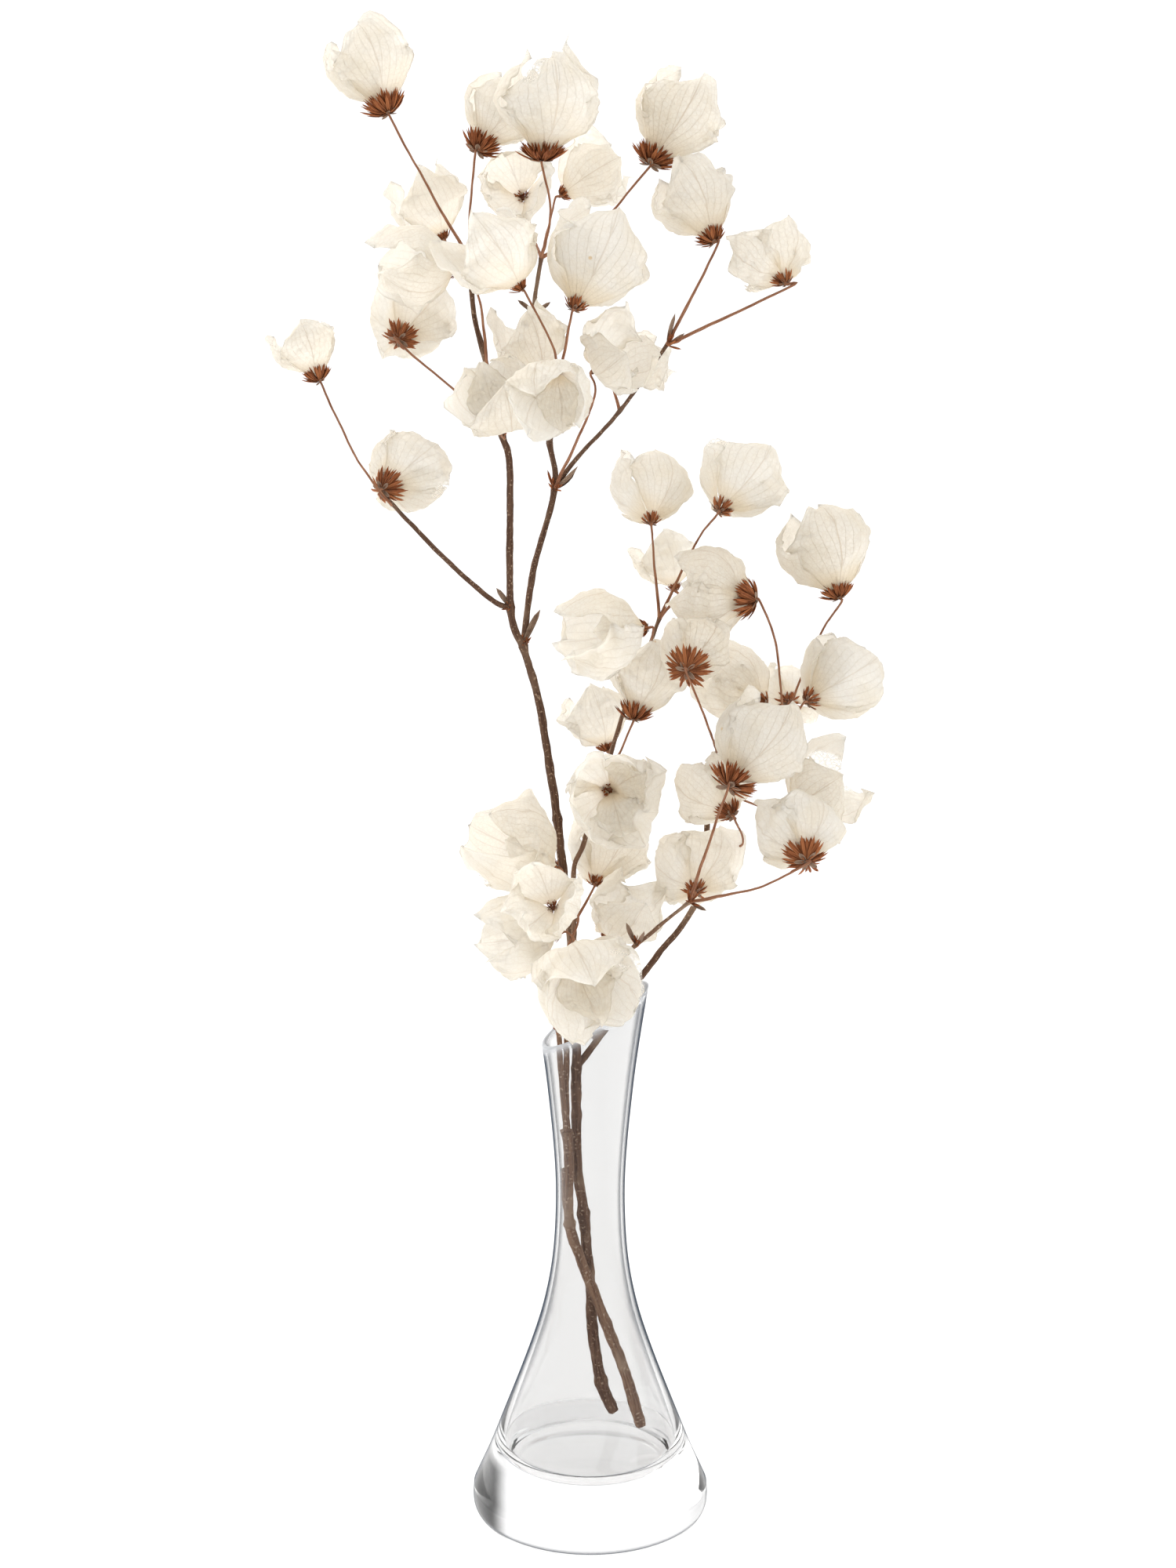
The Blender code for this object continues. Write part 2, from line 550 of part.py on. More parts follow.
def make_bloom(name, bloom, draw, group, finish):
    """A bloom: papery bracts fused at a hub."""
    axes = frame_facing(bloom.facing)
    pieces = [make_hub(bloom.place, axes, group)]
    for index in range(bloom.bracts):
        plan = bract_plan(draw, index, bloom)
        pieces.append(make_bract(plan, bloom.place, axes, group))
    return fused(name, pieces, group, finish)


def make_branch(name, stems, leaves, blooms, group, finish):
    """A woody branch: its stems, the stalk and cup of every bloom, and its leaves, as one body."""
    pieces = []
    for root_radius, tip_radius, places in stems.values():
        pieces.append(make_rod(places, root_radius, tip_radius, STEM_BEVEL, group))
    for bloom in blooms.values():
        axis = Vector(bloom.facing).normalized()
        neck = Vector(bloom.place) - axis * NECK_LENGTH
        end = Vector(bloom.place) - axis * bloom.cup * CUP_DEPTH_SHARE / 2
        stalk = [*bloom.stalk, neck, end]
        pieces.append(make_rod(stalk, STALK_ROOT_RADIUS, STALK_RADIUS, STALK_BEVEL, group))
        pieces.append(make_cup(bloom, group))
    for place, direction, length in leaves:
        pieces.append(make_leaf(place, direction, length, group))
    return fused(name, pieces, group, finish)


def main():
    clear_scene()
    group = collection("dried_bougainvillea")
    cutters = collection("cutters")
    glass = material("clear_glass", GLASS_COLOUR, 0.02, transmission=1.0)
    dark_wood = material("dark_wood", DARK_WOOD_COLOUR, 0.8)
    pale_wood = material("pale_wood", PALE_WOOD_COLOUR, 0.8)
    paper = material("papery_bract", BRACT_COLOUR, 0.7)

    make_vase(make_mouth_cutter(cutters), group, glass)
    make_branch("dark_branch", DARK_STEMS, DARK_LEAVES, DARK_BLOOMS, group, dark_wood)
    make_branch("pale_branch", PALE_STEMS, PALE_LEAVES, PALE_BLOOMS, group, pale_wood)
    for name, bloom in (DARK_BLOOMS | PALE_BLOOMS).items():
        make_bloom("bloom_" + name, bloom, random.Random(name), group, paper)


main()
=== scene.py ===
import math
import random
from collections import namedtuple

import bmesh
import bpy
from mathutils import Matrix, Vector


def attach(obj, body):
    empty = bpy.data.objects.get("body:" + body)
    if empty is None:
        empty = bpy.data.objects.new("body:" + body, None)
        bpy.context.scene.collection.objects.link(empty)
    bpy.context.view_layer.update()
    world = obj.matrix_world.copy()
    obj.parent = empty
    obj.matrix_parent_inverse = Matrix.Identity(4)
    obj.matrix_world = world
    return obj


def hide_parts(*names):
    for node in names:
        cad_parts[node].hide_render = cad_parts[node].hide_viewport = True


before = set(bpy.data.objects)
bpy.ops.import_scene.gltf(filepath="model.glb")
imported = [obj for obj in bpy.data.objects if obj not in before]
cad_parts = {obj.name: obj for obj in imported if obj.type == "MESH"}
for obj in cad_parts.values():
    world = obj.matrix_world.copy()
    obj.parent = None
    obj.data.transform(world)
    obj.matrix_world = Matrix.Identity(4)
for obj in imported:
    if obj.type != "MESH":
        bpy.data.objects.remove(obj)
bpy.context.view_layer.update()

MM = 0.001

# The studio: the photograph's camera, a pale floor that runs on into a white surround, and one wide
# soft light from behind the left. The surround is a little dimmer behind the camera, so that little
# is mirrored in the front of the glass. Two low screens stand far off at its sides, a dark one on
# the right and a pale one on the left, and shade the opposite edges of the glass foot.
CAMERA_PLACE = (-0.001, -1.216, 0.602)
CAMERA_DIP = math.radians(12.65)
CAMERA_LENS = 68.0
FLOOR_RADIUS = 1.2
FLOOR_GAP = 0.4 * MM
BACKDROP = 1.15
SURROUND_LIGHT = 1.42
DIM_LIGHT = 0.8
DIM_FRONT = (-0.35, -0.8, 0.49)
KEY_LIGHT = 1.5
KEY_SOFTNESS = math.radians(50)
KEY_FROM = (-0.75, 0.35, 0.75)

camera_data = bpy.data.cameras.new("camera")
camera_data.lens = CAMERA_LENS
camera = bpy.data.objects.new("camera", camera_data)
camera.location = CAMERA_PLACE
camera.rotation_euler = (math.pi / 2 - CAMERA_DIP, 0, 0)
bpy.context.scene.collection.objects.link(camera)
bpy.context.scene.camera = camera
bpy.context.scene.view_settings.view_transform = "Standard"

key_data = bpy.data.lights.new("key", "SUN")
key_data.energy = KEY_LIGHT
key_data.angle = KEY_SOFTNESS
key_data.color = (1.0, 0.98, 0.95)
key = bpy.data.objects.new("key", key_data)
key.rotation_euler = Vector(KEY_FROM).to_track_quat("Z", "Y").to_euler()
bpy.context.scene.collection.objects.link(key)


class Socket:
    """An output of a node, on which Python's operators add Math nodes."""

    def __init__(self, graph, socket):
        self.graph = graph
        self.socket = socket

    def out(self, name):
        """Another output of the same node."""
        return Socket(self.graph, self.socket.node.outputs[name])

    def math(self, operation, *others):
        return self.graph.node("ShaderNodeMath", {"operation": operation}, [self, *others])

    def __add__(self, other):
        return self.math("ADD", other)

    def __sub__(self, other):
        return self.math("SUBTRACT", other)

    def __mul__(self, other):
        return self.math("MULTIPLY", other)

    def __truediv__(self, other):
        return self.math("DIVIDE", other)

    def __pow__(self, other):
        return self.math("POWER", other)

    def __gt__(self, other):
        return self.math("GREATER_THAN", other)

    def __neg__(self):
        return self.math("MULTIPLY", -1)

    def __abs__(self):
        return self.math("ABSOLUTE")

    def __rsub__(self, other):
        return -self + other

    __radd__ = __add__
    __rmul__ = __mul__

    def sin(self):
        return self.math("SINE")

    def cos(self):
        return self.math("COSINE")

    def least(self, other):
        return self.math("MINIMUM", other)

    def most(self, other):
        return self.math("MAXIMUM", other)

    def band(self, low, high, start=0.0, stop=1.0):
        """Runs smoothly from start to stop as the value goes from low to high."""
        settings = {"interpolation_type": "SMOOTHSTEP"}
        values = {"Value": self, "From Min": low, "From Max": high, "To Min": start, "To Max": stop}
        return self.graph.node("ShaderNodeMapRange", settings, values)


class Graph:
    """A node tree that is written as Python expressions."""

    def __init__(self, tree):
        self.tree = tree

    def node(self, kind, settings=None, values=(), output=0):
        """Adds a node with its settings, then sets or links its sockets, and gives an output."""
        made = self.tree.nodes.new(kind)
        for name, setting in (settings or {}).items():
            setattr(made, name, setting)
        pairs = values.items() if isinstance(values, dict) else enumerate(values)
        for name, value in pairs:
            if isinstance(value, Socket):
                self.tree.links.new(value.socket, made.inputs[name])
            else:
                made.inputs[name].default_value = value
        return Socket(self, made.outputs[output])

    def vector(self, x, y, z):
        return self.node("ShaderNodeCombineXYZ", values=[x, y, z])

    def noise(self, place, scale, detail=2.0, roughness=0.5):
        values = {"Vector": place, "Scale": scale, "Detail": detail, "Roughness": roughness}
        return self.node("ShaderNodeTexNoise", values=values)

    def mixed(self, share, first, second):
        """A colour between two, by a share from 0 to 1."""
        values = {"Factor": share, "A": first, "B": second}
        made = self.tree.nodes.new("ShaderNodeMix")
        made.data_type = "RGBA"
        sockets = {s.name: s for s in made.inputs if s.enabled}
        for name, value in values.items():
            if isinstance(value, Socket):
                self.tree.links.new(value.socket, sockets[name])
            else:
                sockets[name].default_value = value
        return Socket(self, next(s for s in made.outputs if s.enabled))

    def attribute(self, name, output="Vector"):
        return self.node("ShaderNodeAttribute", {"attribute_name": name}, output=output)


world = bpy.data.worlds.new("surround")
bpy.context.scene.world = world
world.use_nodes = True
sky = Graph(world.node_tree)
towards = sky.node("ShaderNodeTexCoord", output="Generated")
split = sky.node("ShaderNodeSeparateXYZ", values=[towards])
beside = split.band(0.5, 0.7) * 0.95 + (-split).band(0.5, 0.95) * 0.3
low = split.out("Z").band(-0.12, 0.02) * split.out("Z").band(0.4, 0.7, 1, 0)
screens = beside * low * split.out("Y").band(-0.1, 0.2)
front = sky.node("ShaderNodeVectorMath", {"operation": "DOT_PRODUCT"}, [towards, DIM_FRONT], output="Value")
light = SURROUND_LIGHT - front.band(0.25, 0.9) * (SURROUND_LIGHT - DIM_LIGHT)
light = light * (1 - screens)
seen = sky.node("ShaderNodeLightPath", output="Is Camera Ray")
light = light + seen * (BACKDROP - light)
sky.tree.links.new(light.socket, sky.tree.nodes["Background"].inputs["Strength"])
sky.tree.nodes["Background"].inputs["Color"].default_value = (1, 1, 1, 1)

bpy.ops.mesh.primitive_circle_add(vertices=96, radius=FLOOR_RADIUS, fill_type="NGON", location=(0, 0, -FLOOR_GAP))
floor = bpy.context.object
floor.name = "floor"
floor_paint = bpy.data.materials.new("floor_paint")
floor_paint.use_nodes = True
floor_shader = floor_paint.node_tree.nodes["Principled BSDF"]
floor_shader.inputs["Base Color"].default_value = (0.93, 0.93, 0.93, 1)
floor_shader.inputs["Roughness"].default_value = 0.6
floor.data.materials.append(floor_paint)


# The carafe: one piece of clear blown glass with a heavy base, a drawn-in waist and a mouth that
# was cut on a slant and fire polished, which rounds its lip. The whole profile is turned round
# the axis here, and each column of it stops where it meets the slanted plane of the mouth.
def new_material(name, **fixed):
    """A material, its graph and its Principled shader, with sockets set to fixed values."""
    made = bpy.data.materials.new(name)
    made.use_nodes = True
    shader = made.node_tree.nodes["Principled BSDF"]
    for socket, value in fixed.items():
        shader.inputs[socket.replace("_", " ")].default_value = value
    return made, Graph(made.node_tree), shader


def finished(name, mesh, finish, nodes):
    """A piece of the object from its mesh: it stands for CAD nodes, which are hidden. The finish is not used."""
    piece = bpy.data.objects.new(name, mesh)
    bpy.context.scene.collection.objects.link(piece)
    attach(piece, "root")
    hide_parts(*nodes)
    return piece


def smooth_line(points, steps):
    """Points along a Catmull-Rom curve through the points, with this many steps between two."""
    points = [Vector(point) for point in points]
    ends = [points[0] * 2 - points[1], *points, points[-1] * 2 - points[-2]]
    line = []
    for before, start, stop, after in zip(ends, ends[1:], ends[2:], ends[3:]):
        for step in range(steps):
            t = step / steps
            line.append(0.5 * (
                2 * start + (stop - before) * t
                + (2 * before - 5 * start + 4 * stop - after) * t * t
                + (3 * start - before - 3 * stop + after) * t ** 3
            ))
    return [*line, points[-1]]


GLASS_FOOT = [(0, 0), (30, 0), (45.5, 0), (49.3, 0.9), (51.3, 3.8), (51.8, 7.5), (51.6, 12)]
GLASS_OUTSIDE = [(51.6, 12), (41.0, 37.5), (20.6, 96), (15.0, 143), (18.5, 196), (27.0, 255)]
GLASS_INSIDE = [(36.2, 29.5), (37.4, 37), (18.5, 96), (13.2, 143), (16.7, 196), (25.2, 255)]
GLASS_FLOOR = [(36.2, 29.5), (31.0, 25.0), (20.0, 22.6), (8, 22.1), (0, 22)]
MOUTH_LOW = (-21.5, 214.5)
MOUTH_HIGH = (25.5, 242.2)
GLASS_COLUMNS = 160
WALL_ROWS = 64
LIP_ROWS = 7
LIP_HEIGHT = 0.8
LIP_FADE = 4
NECK_START = 30
NECK_RISE = 60


def radius_at(line, height):
    """The radius of a wall at a height, along its smooth line."""
    for below, above in zip(line, line[1:]):
        if below.y <= height <= above.y:
            share = (height - below.y) / (above.y - below.y)
            return below.x + (above.x - below.x) * share
    return line[-1].x


def mouth_height(line, turn):
    """The height at which a wall meets the slanted mouth, in the direction of turn."""
    slope = (MOUTH_HIGH[1] - MOUTH_LOW[1]) / (MOUTH_HIGH[0] - MOUTH_LOW[0])
    middle = MOUTH_LOW[1] - slope * MOUTH_LOW[0]
    height = middle
    for _ in range(8):
        height = middle + slope * radius_at(line, height) * math.cos(turn)
    return height


def carafe_column(outside, inside, turn):
    """The carafe's profile in one direction, from the middle of the foot to that of the floor."""
    column = list(smooth_line(GLASS_FOOT, 5))
    rims = []
    for line, rows in ((outside, range(1, WALL_ROWS + 1)), (inside, range(WALL_ROWS, 0, -1))):
        start = line[0].y
        stop = mouth_height(line, turn) - LIP_HEIGHT
        wall = []
        for row in rows:
            height = start + (stop - start) * row / WALL_ROWS
            wall.append(Vector((radius_at(line, height), height)))
        rims.append(wall)
    outer_rim, inner_rim = rims[0][-1], rims[1][0]
    middle, half = (outer_rim + inner_rim) / 2, (outer_rim - inner_rim) / 2
    rise = Vector((-half.y, half.x)).normalized() * LIP_HEIGHT
    arc = []
    for row in range(1, LIP_ROWS):
        angle = math.pi * row / LIP_ROWS
        arc.append(middle + half * math.cos(angle) + rise * math.sin(angle))
    return [*column, *rims[0], *arc, *rims[1], *smooth_line(GLASS_FLOOR, 5)]


def make_carafe():
    outside = smooth_line(GLASS_OUTSIDE, 24)
    inside = smooth_line(GLASS_INSIDE, 24)
    bm = bmesh.new()
    foot = bm.verts.new((0, 0, 0))
    middle = bm.verts.new((0, 0, GLASS_FLOOR[-1][1] * MM))
    columns = []
    for step in range(GLASS_COLUMNS):
        turn = math.tau * step / GLASS_COLUMNS
        points = carafe_column(outside, inside, turn)[1:-1]
        columns.append([
            bm.verts.new(Vector((p.x * math.cos(turn), p.x * math.sin(turn), p.y)) * MM)
            for p in points
        ])
    for first, second in zip(columns, columns[1:] + columns[:1]):
        bm.faces.new((foot, second[0], first[0]))
        for row in range(len(first) - 1):
            bm.faces.new((first[row], second[row], second[row + 1], first[row + 1]))
        bm.faces.new((first[-1], second[-1], middle))
    bmesh.ops.remove_doubles(bm, verts=bm.verts, dist=0.01 * MM)
    bmesh.ops.recalc_face_normals(bm, faces=bm.faces)
    mesh = bpy.data.meshes.new("carafe_glass")
    bm.to_mesh(mesh)
    bm.free()
    mesh.shade_smooth()
    slope = (MOUTH_HIGH[1] - MOUTH_LOW[1]) / (MOUTH_HIGH[0] - MOUTH_LOW[0])
    wall = mesh.attributes.new("wall", "FLOAT", "POINT")
    neck = mesh.attributes.new("neck", "FLOAT", "POINT")
    for vert, below_lip, up_neck in zip(mesh.vertices, wall.data, neck.data):
        mouth = MOUTH_LOW[1] + slope * (vert.co.x / MM - MOUTH_LOW[0])
        below_lip.value = min(1, max(0, (mouth - LIP_HEIGHT - vert.co.z / MM) / LIP_FADE))
        up_neck.value = min(1, max(0, (vert.co.z / MM - NECK_START) / NECK_RISE))
    return mesh


def make_glass():
    """Clear glass: where its walls are seen edge-on, more so up the neck, a cool dark grey is mixed in, a painted
    shade for the dark that the walls mirror there; a pale grey on its fire-polished lip is a painted highlight. Light
    that has bounced off the floor or a stem goes straight through."""
    glass, graph, shader = new_material(
        "clear_blown_glass", Roughness=0.0, IOR=1.5, Transmission_Weight=1.0,
        Specular_Tint=(0.2, 0.2, 0.2, 1),
    )
    edge = graph.node("ShaderNodeLayerWeight", values={"Blend": 0.5}, output="Facing")
    neck = graph.attribute("neck", "Fac")
    below_lip = graph.attribute("wall", "Fac")
    # Painted shade: a dark blue-grey diffuse is mixed in where the walls are seen edge-on, stronger up the neck and
    # none at the lip.
    shade = edge.band(0.76 - neck * 0.26, 1.0 - neck * 0.2) * below_lip * 0.95
    dark = graph.node("ShaderNodeBsdfDiffuse", values={"Color": (0.05, 0.065, 0.09, 1)})
    # Painted highlight: a pale grey diffuse is mixed in on the fire-polished lip.
    pale = graph.node("ShaderNodeBsdfDiffuse", values={"Color": (0.7, 0.72, 0.75, 1)})
    clear = graph.node("ShaderNodeBsdfTransparent")
    body = Socket(graph, shader.outputs[0])
    body = graph.node("ShaderNodeMixShader", values=[shade, body, dark])
    body = graph.node("ShaderNodeMixShader", values=[(1 - below_lip) * 0.45, body, pale])
    bounced = graph.node("ShaderNodeLightPath", output="Is Diffuse Ray")
    bounced = bounced.most(bounced.out("Is Shadow Ray")) * 0.9
    body = graph.node("ShaderNodeMixShader", values=[bounced, body, clear])
    output = graph.tree.nodes["Material Output"]
    graph.tree.links.new(body.socket, output.inputs["Surface"])
    return glass


carafe = make_carafe()
carafe.materials.append(make_glass())
finished("carafe_glass", carafe, "clear_glass", ["vase"])


# The branches: two cut woody shoots that stand loose in the carafe, a dark older one with ridged
# bark and light flecks and a paler younger one. Each stem is a tube grown along its route, which
# swells at its knots and wanders a little between them.
DARK_FORK = (-28, 0, 388)
SIDE_FORK = (-33, -5, 405)
SIDE_TIP = (-80, -24, 450)
LEFT_NODE = (-36, -8, 477)
LEFT_SHOOT = (-42, -10, 504)
LEFT_TIP = (-48, -8, 546)
RIGHT_NODE = (-15, 20, 451)
RIGHT_SHOOT = (-17, 20, 470)
RIGHT_TIP = (-20, 8, 547)
OUTER_NODE = (12, 5, 485)
OUTER_TIP = (31, -8, 513)
FRONT_NODE = (-14, 0, 486)
FRONT_TIP = (-13, -30, 500)
LIMB_ROOT = (-6, -2, 205)
LIMB_ELBOW = (50, 28, 296)
LIMB_NODE = (50, 26, 324)
LIMB_TIP = (80, 2, 350)
PALE_KNOT = (-9, -2, 134)
PALE_SPLIT = (-10, -6, 178)
PALE_LEFT_TIP = (-15, -26, 254)
PALE_NODE = (-8, -2, 244)
PALE_MIDDLE = (-7, 0, 268)
PALE_FRONT_NODE = (19, -32, 268)
PALE_FRONT_TIP = (41, -31, 286)
PALE_TOP_NODE = (6, -8, 336)
CROWN_NODE = (29, 10, 398)

DARK_STEMS = [
    (2.8, 1.55, [
        (10.9, 31.6, 30.1), (5, 29.5, 46), (1, 20.5, 76), (0, 13.5, 99), (-2, 7, 125), (-5, 3, 154),
        (-6, 0, 176), (-6, -3, 220), (-8, 5, 259), (-12, 8, 293), (-14, 8, 312), (-21, 5, 360),
        DARK_FORK,
    ]),
    (1.6, 0.9, [
        DARK_FORK, SIDE_FORK, (-33, -8, 462), LEFT_NODE, LEFT_SHOOT, (-47, -12, 527), LEFT_TIP,
    ]),
    (1.45, 0.8, [
        DARK_FORK, (-24, 12, 417), RIGHT_NODE, RIGHT_SHOOT, (-20, 18, 498), (-23, 14, 524),
        RIGHT_TIP,
    ]),
    (1.0, 0.7, [RIGHT_NODE, (-6, 14, 464), OUTER_NODE, OUTER_TIP]),
    (0.95, 0.7, [RIGHT_SHOOT, FRONT_NODE, FRONT_TIP]),
    (1.25, 0.8, [SIDE_FORK, (-41, -9, 409), (-62, -18, 430), (-83, -25, 454)]),
    (1.5, 1.2, [LIMB_ROOT, (11, 0, 228), (22, 6, 243.4), (45, 24, 270), LIMB_ELBOW, LIMB_NODE]),
    (1.0, 0.7, [LIMB_NODE, (63, 22, 338), LIMB_TIP]),
]
DARK_KNOTS = [
    (-3, 5.5, 136), LIMB_ROOT, (-14, 8, 312), DARK_FORK, SIDE_FORK, LEFT_NODE,
    RIGHT_NODE, RIGHT_SHOOT, OUTER_NODE, OUTER_TIP, FRONT_NODE, FRONT_TIP, LIMB_ELBOW, LIMB_NODE,
    LIMB_TIP, (-23, 14, 524), LEFT_TIP, RIGHT_TIP, (5, 30, 46),
]
PALE_STEMS = [
    (2.7, 1.9, [
        (23.9, 20.9, 27.7), (16, 20, 55), (9, 16, 75), (1, 8, 99), (-5, 2, 118), PALE_KNOT,
        (-9, -4, 160), PALE_SPLIT,
    ]),
    (1.2, 1.2, [PALE_KNOT, (-10.8, -3, 146), (-11, -4, 160)]),
    (1.2, 0.8, [PALE_SPLIT, (-13.1, -12, 219), (-14, -18, 231), PALE_LEFT_TIP]),
    (1.3, 0.9, [
        PALE_SPLIT, (-9.9, -4.6, 217), PALE_NODE, PALE_MIDDLE, (-7, 0, 292), (-3, -2, 304),
        (3, -2, 324), PALE_TOP_NODE,
    ]),
    (0.95, 0.75, [PALE_NODE, (6, -20, 252), PALE_FRONT_NODE, PALE_FRONT_TIP]),
    (1.0, 0.75, [PALE_TOP_NODE, (15, 4, 362), (24, 10, 384), CROWN_NODE]),
]
PALE_KNOTS = [
    PALE_KNOT, PALE_SPLIT, PALE_NODE, PALE_LEFT_TIP, PALE_FRONT_NODE, PALE_FRONT_TIP,
    PALE_TOP_NODE, CROWN_NODE, (3, -2, 324), (-13, -15, 225),
]


def new_tree(name, sockets):
    """A Geometry Nodes tree with these named inputs, its graph and its inputs' sockets."""
    tree = bpy.data.node_groups.new(name, "GeometryNodeTree")
    tree.interface.new_socket("Shape", in_out="OUTPUT", socket_type="NodeSocketGeometry")
    for label, kind in {"Source": "Geometry", **sockets}.items():
        tree.interface.new_socket(label, in_out="INPUT", socket_type="NodeSocket" + kind)
    graph = Graph(tree)
    inputs = tree.nodes.new("NodeGroupInput").outputs
    return tree, graph, {label: Socket(graph, inputs[label]) for label in ("Source", *sockets)}


def end_tree(graph, shape, finish):
    """Ends a tree: its instances are made real, it is shaded smooth and takes its material."""
    shape = graph.node("GeometryNodeRealizeInstances", values=[shape])
    shape = graph.node("GeometryNodeSetShadeSmooth", values={"Geometry": shape, "Shade Smooth": True})
    shape = graph.node("GeometryNodeSetMaterial", values={"Geometry": shape, "Material": finish})
    output = graph.tree.nodes.new("NodeGroupOutput")
    graph.tree.links.new(shape.socket, output.inputs[0])


def grown(tree, values, source=None):
    """The plain mesh that a tree makes from its named inputs."""
    holder = bpy.data.objects.new("holder", source or bpy.data.meshes.new("holder"))
    bpy.context.scene.collection.objects.link(holder)
    modifier = holder.modifiers.new("grow", "NODES")
    modifier.node_group = tree
    for item in tree.interface.items_tree:
        if item.name in values:
            modifier[item.identifier] = values[item.name]
    shape = holder.evaluated_get(bpy.context.evaluated_depsgraph_get())
    mesh = bpy.data.meshes.new_from_object(shape)
    bpy.data.objects.remove(holder)
    return mesh


def stem_tree():
    """A tube along each route, resampled evenly, that swells near the knots."""
    tree, graph, given = new_tree("woody_stem", {
        "Knots": "Object", "Sides": "Int", "Step": "Float", "Wander": "Float", "Swelling": "Float",
        "Swell Reach": "Float", "Ridges": "Float", "Finish": "Material",
    })
    line = graph.node("GeometryNodeCurveSplineType", {"spline_type": "CATMULL_ROM"}, [given["Source"]])
    line = graph.node(
        "GeometryNodeResampleCurve", {"mode": "LENGTH"}, {"Curve": line, "Length": given["Step"]}
    )
    place = graph.node("GeometryNodeInputPosition")
    knots = graph.node("GeometryNodeObjectInfo", values=[given["Knots"]], output="Geometry")
    gap = graph.node(
        "GeometryNodeProximity", {"target_element": "POINTS"},
        {"Geometry": knots, "Sample Position": place}, output="Distance",
    )
    near = (1 - gap / given["Swell Reach"]).most(0)
    swell = near * near * given["Swelling"] + 1
    lumps = graph.noise(place, 240.0).band(0.2, 0.8, 0.93, 1.07)
    radius = graph.node("GeometryNodeInputRadius") * swell * lumps
    line = graph.node("GeometryNodeSetCurveRadius", values={"Curve": line, "Radius": radius})
    drift = graph.node(
        "ShaderNodeVectorMath", {"operation": "SUBTRACT"},
        [graph.noise(place, 60.0).out("Color"), (0.5, 0.5, 0.5)],
    )
    drift = graph.node(
        "ShaderNodeVectorMath", {"operation": "SCALE"},
        {"Vector": drift, "Scale": given["Wander"] * gap.band(0, 0.006)},
    )
    line = graph.node("GeometryNodeSetPosition", values={"Geometry": line, "Offset": drift})
    along = graph.node("GeometryNodeSplineParameter", output="Length")
    line = graph.node(
        "GeometryNodeStoreNamedAttribute", {"data_type": "FLOAT", "domain": "POINT"},
        {"Geometry": line, "Name": "along", "Value": along},
    )
    ring = graph.node("GeometryNodeCurvePrimitiveCircle", values={"Resolution": given["Sides"], "Radius": 1.0})
    turn = graph.node("GeometryNodeSplineParameter", output="Factor")
    ring = graph.node(
        "GeometryNodeStoreNamedAttribute", {"data_type": "FLOAT", "domain": "POINT"},
        {"Geometry": ring, "Name": "around", "Value": turn},
    )
    scale = graph.node("GeometryNodeInputRadius")
    line = graph.node(
        "GeometryNodeStoreNamedAttribute", {"data_type": "FLOAT", "domain": "POINT"},
        {"Geometry": line, "Name": "girth", "Value": scale},
    )
    tube = graph.node(
        "GeometryNodeCurveToMesh",
        values={"Curve": line, "Profile Curve": ring, "Scale": scale, "Fill Caps": True},
    )
    read = {"data_type": "FLOAT"}
    angle = graph.node("GeometryNodeInputNamedAttribute", read, {"Name": "around"}) * math.tau
    run = graph.node("GeometryNodeInputNamedAttribute", read, {"Name": "along"})
    girth = graph.node("GeometryNodeInputNamedAttribute", read, {"Name": "girth"})
    grain = graph.vector(angle.cos() * 1.6, angle.sin() * 1.6, run * 90)
    rise = (graph.noise(grain, 1.0, detail=3.0) - 0.5) * given["Ridges"] * girth
    face = graph.node("GeometryNodeInputNormal")
    push = graph.node("ShaderNodeVectorMath", {"operation": "SCALE"}, {"Vector": face, "Scale": rise})
    tube = graph.node("GeometryNodeSetPosition", values={"Geometry": tube, "Offset": push})
    end_tree(graph, tube, given["Finish"])
    return tree


def routes_curve(routes):
    """A curve object's data with one run of points for each route, in (radius, place) pairs."""
    curve = bpy.data.curves.new("routes", "CURVE")
    curve.dimensions = "3D"
    for route in routes:
        spline = curve.splines.new("POLY")
        spline.points.add(len(route) - 1)
        for point, (radius, place) in zip(spline.points, route):
            point.co = (*(Vector(place) * MM), 1)
            point.radius = radius * MM
    return curve


def tapered(stems):
    """Each stem's places with a radius that runs evenly from its root to its tip."""
    routes = []
    for root_radius, tip_radius, places in stems:
        steps = len(places) - 1
        routes.append([
            (root_radius + (tip_radius - root_radius) * step / steps, place)
            for step, place in enumerate(places)
        ])
    return routes


def point_cloud(places):
    """An object that holds only points, for a tree to measure distances to."""
    mesh = bpy.data.meshes.new("knots")
    mesh.from_pydata([Vector(place) * MM for place in places], [], [])
    cloud = bpy.data.objects.new("knots", mesh)
    bpy.context.scene.collection.objects.link(cloud)
    return cloud


def make_bark(name, ground, shade, fleck, roughness):
    """Dry bark: long streaks between a ground and a shade, with small light flecks."""
    bark, graph, shader = new_material(name, Roughness=roughness, Specular_IOR_Level=0.12)
    run = graph.attribute("along", "Fac")
    angle = graph.attribute("around", "Fac") * math.tau
    streaks = graph.vector(angle.cos() * 2.2, angle.sin() * 2.2, run * 70)
    streak = graph.noise(streaks, 1.0, detail=4.0, roughness=0.6)
    place = graph.node("ShaderNodeTexCoord", output="Object")
    patch = graph.noise(place, 55.0)
    specks = graph.noise(place, 900.0, detail=1.0)
    colour = graph.mixed(streak.band(0.35, 0.65), ground, shade)
    colour = graph.mixed(patch.band(0.5, 0.75, 0, 0.5), colour, fleck)
    colour = graph.mixed(specks.band(0.6, 0.72, 0, 0.85), colour, fleck)
    graph.tree.links.new(colour.socket, shader.inputs["Base Color"])
    bump = graph.node("ShaderNodeBump", values={"Strength": 0.5, "Distance": 0.0003, "Height": streak + specks * 0.3})
    graph.tree.links.new(bump.socket, shader.inputs["Normal"])
    return bark


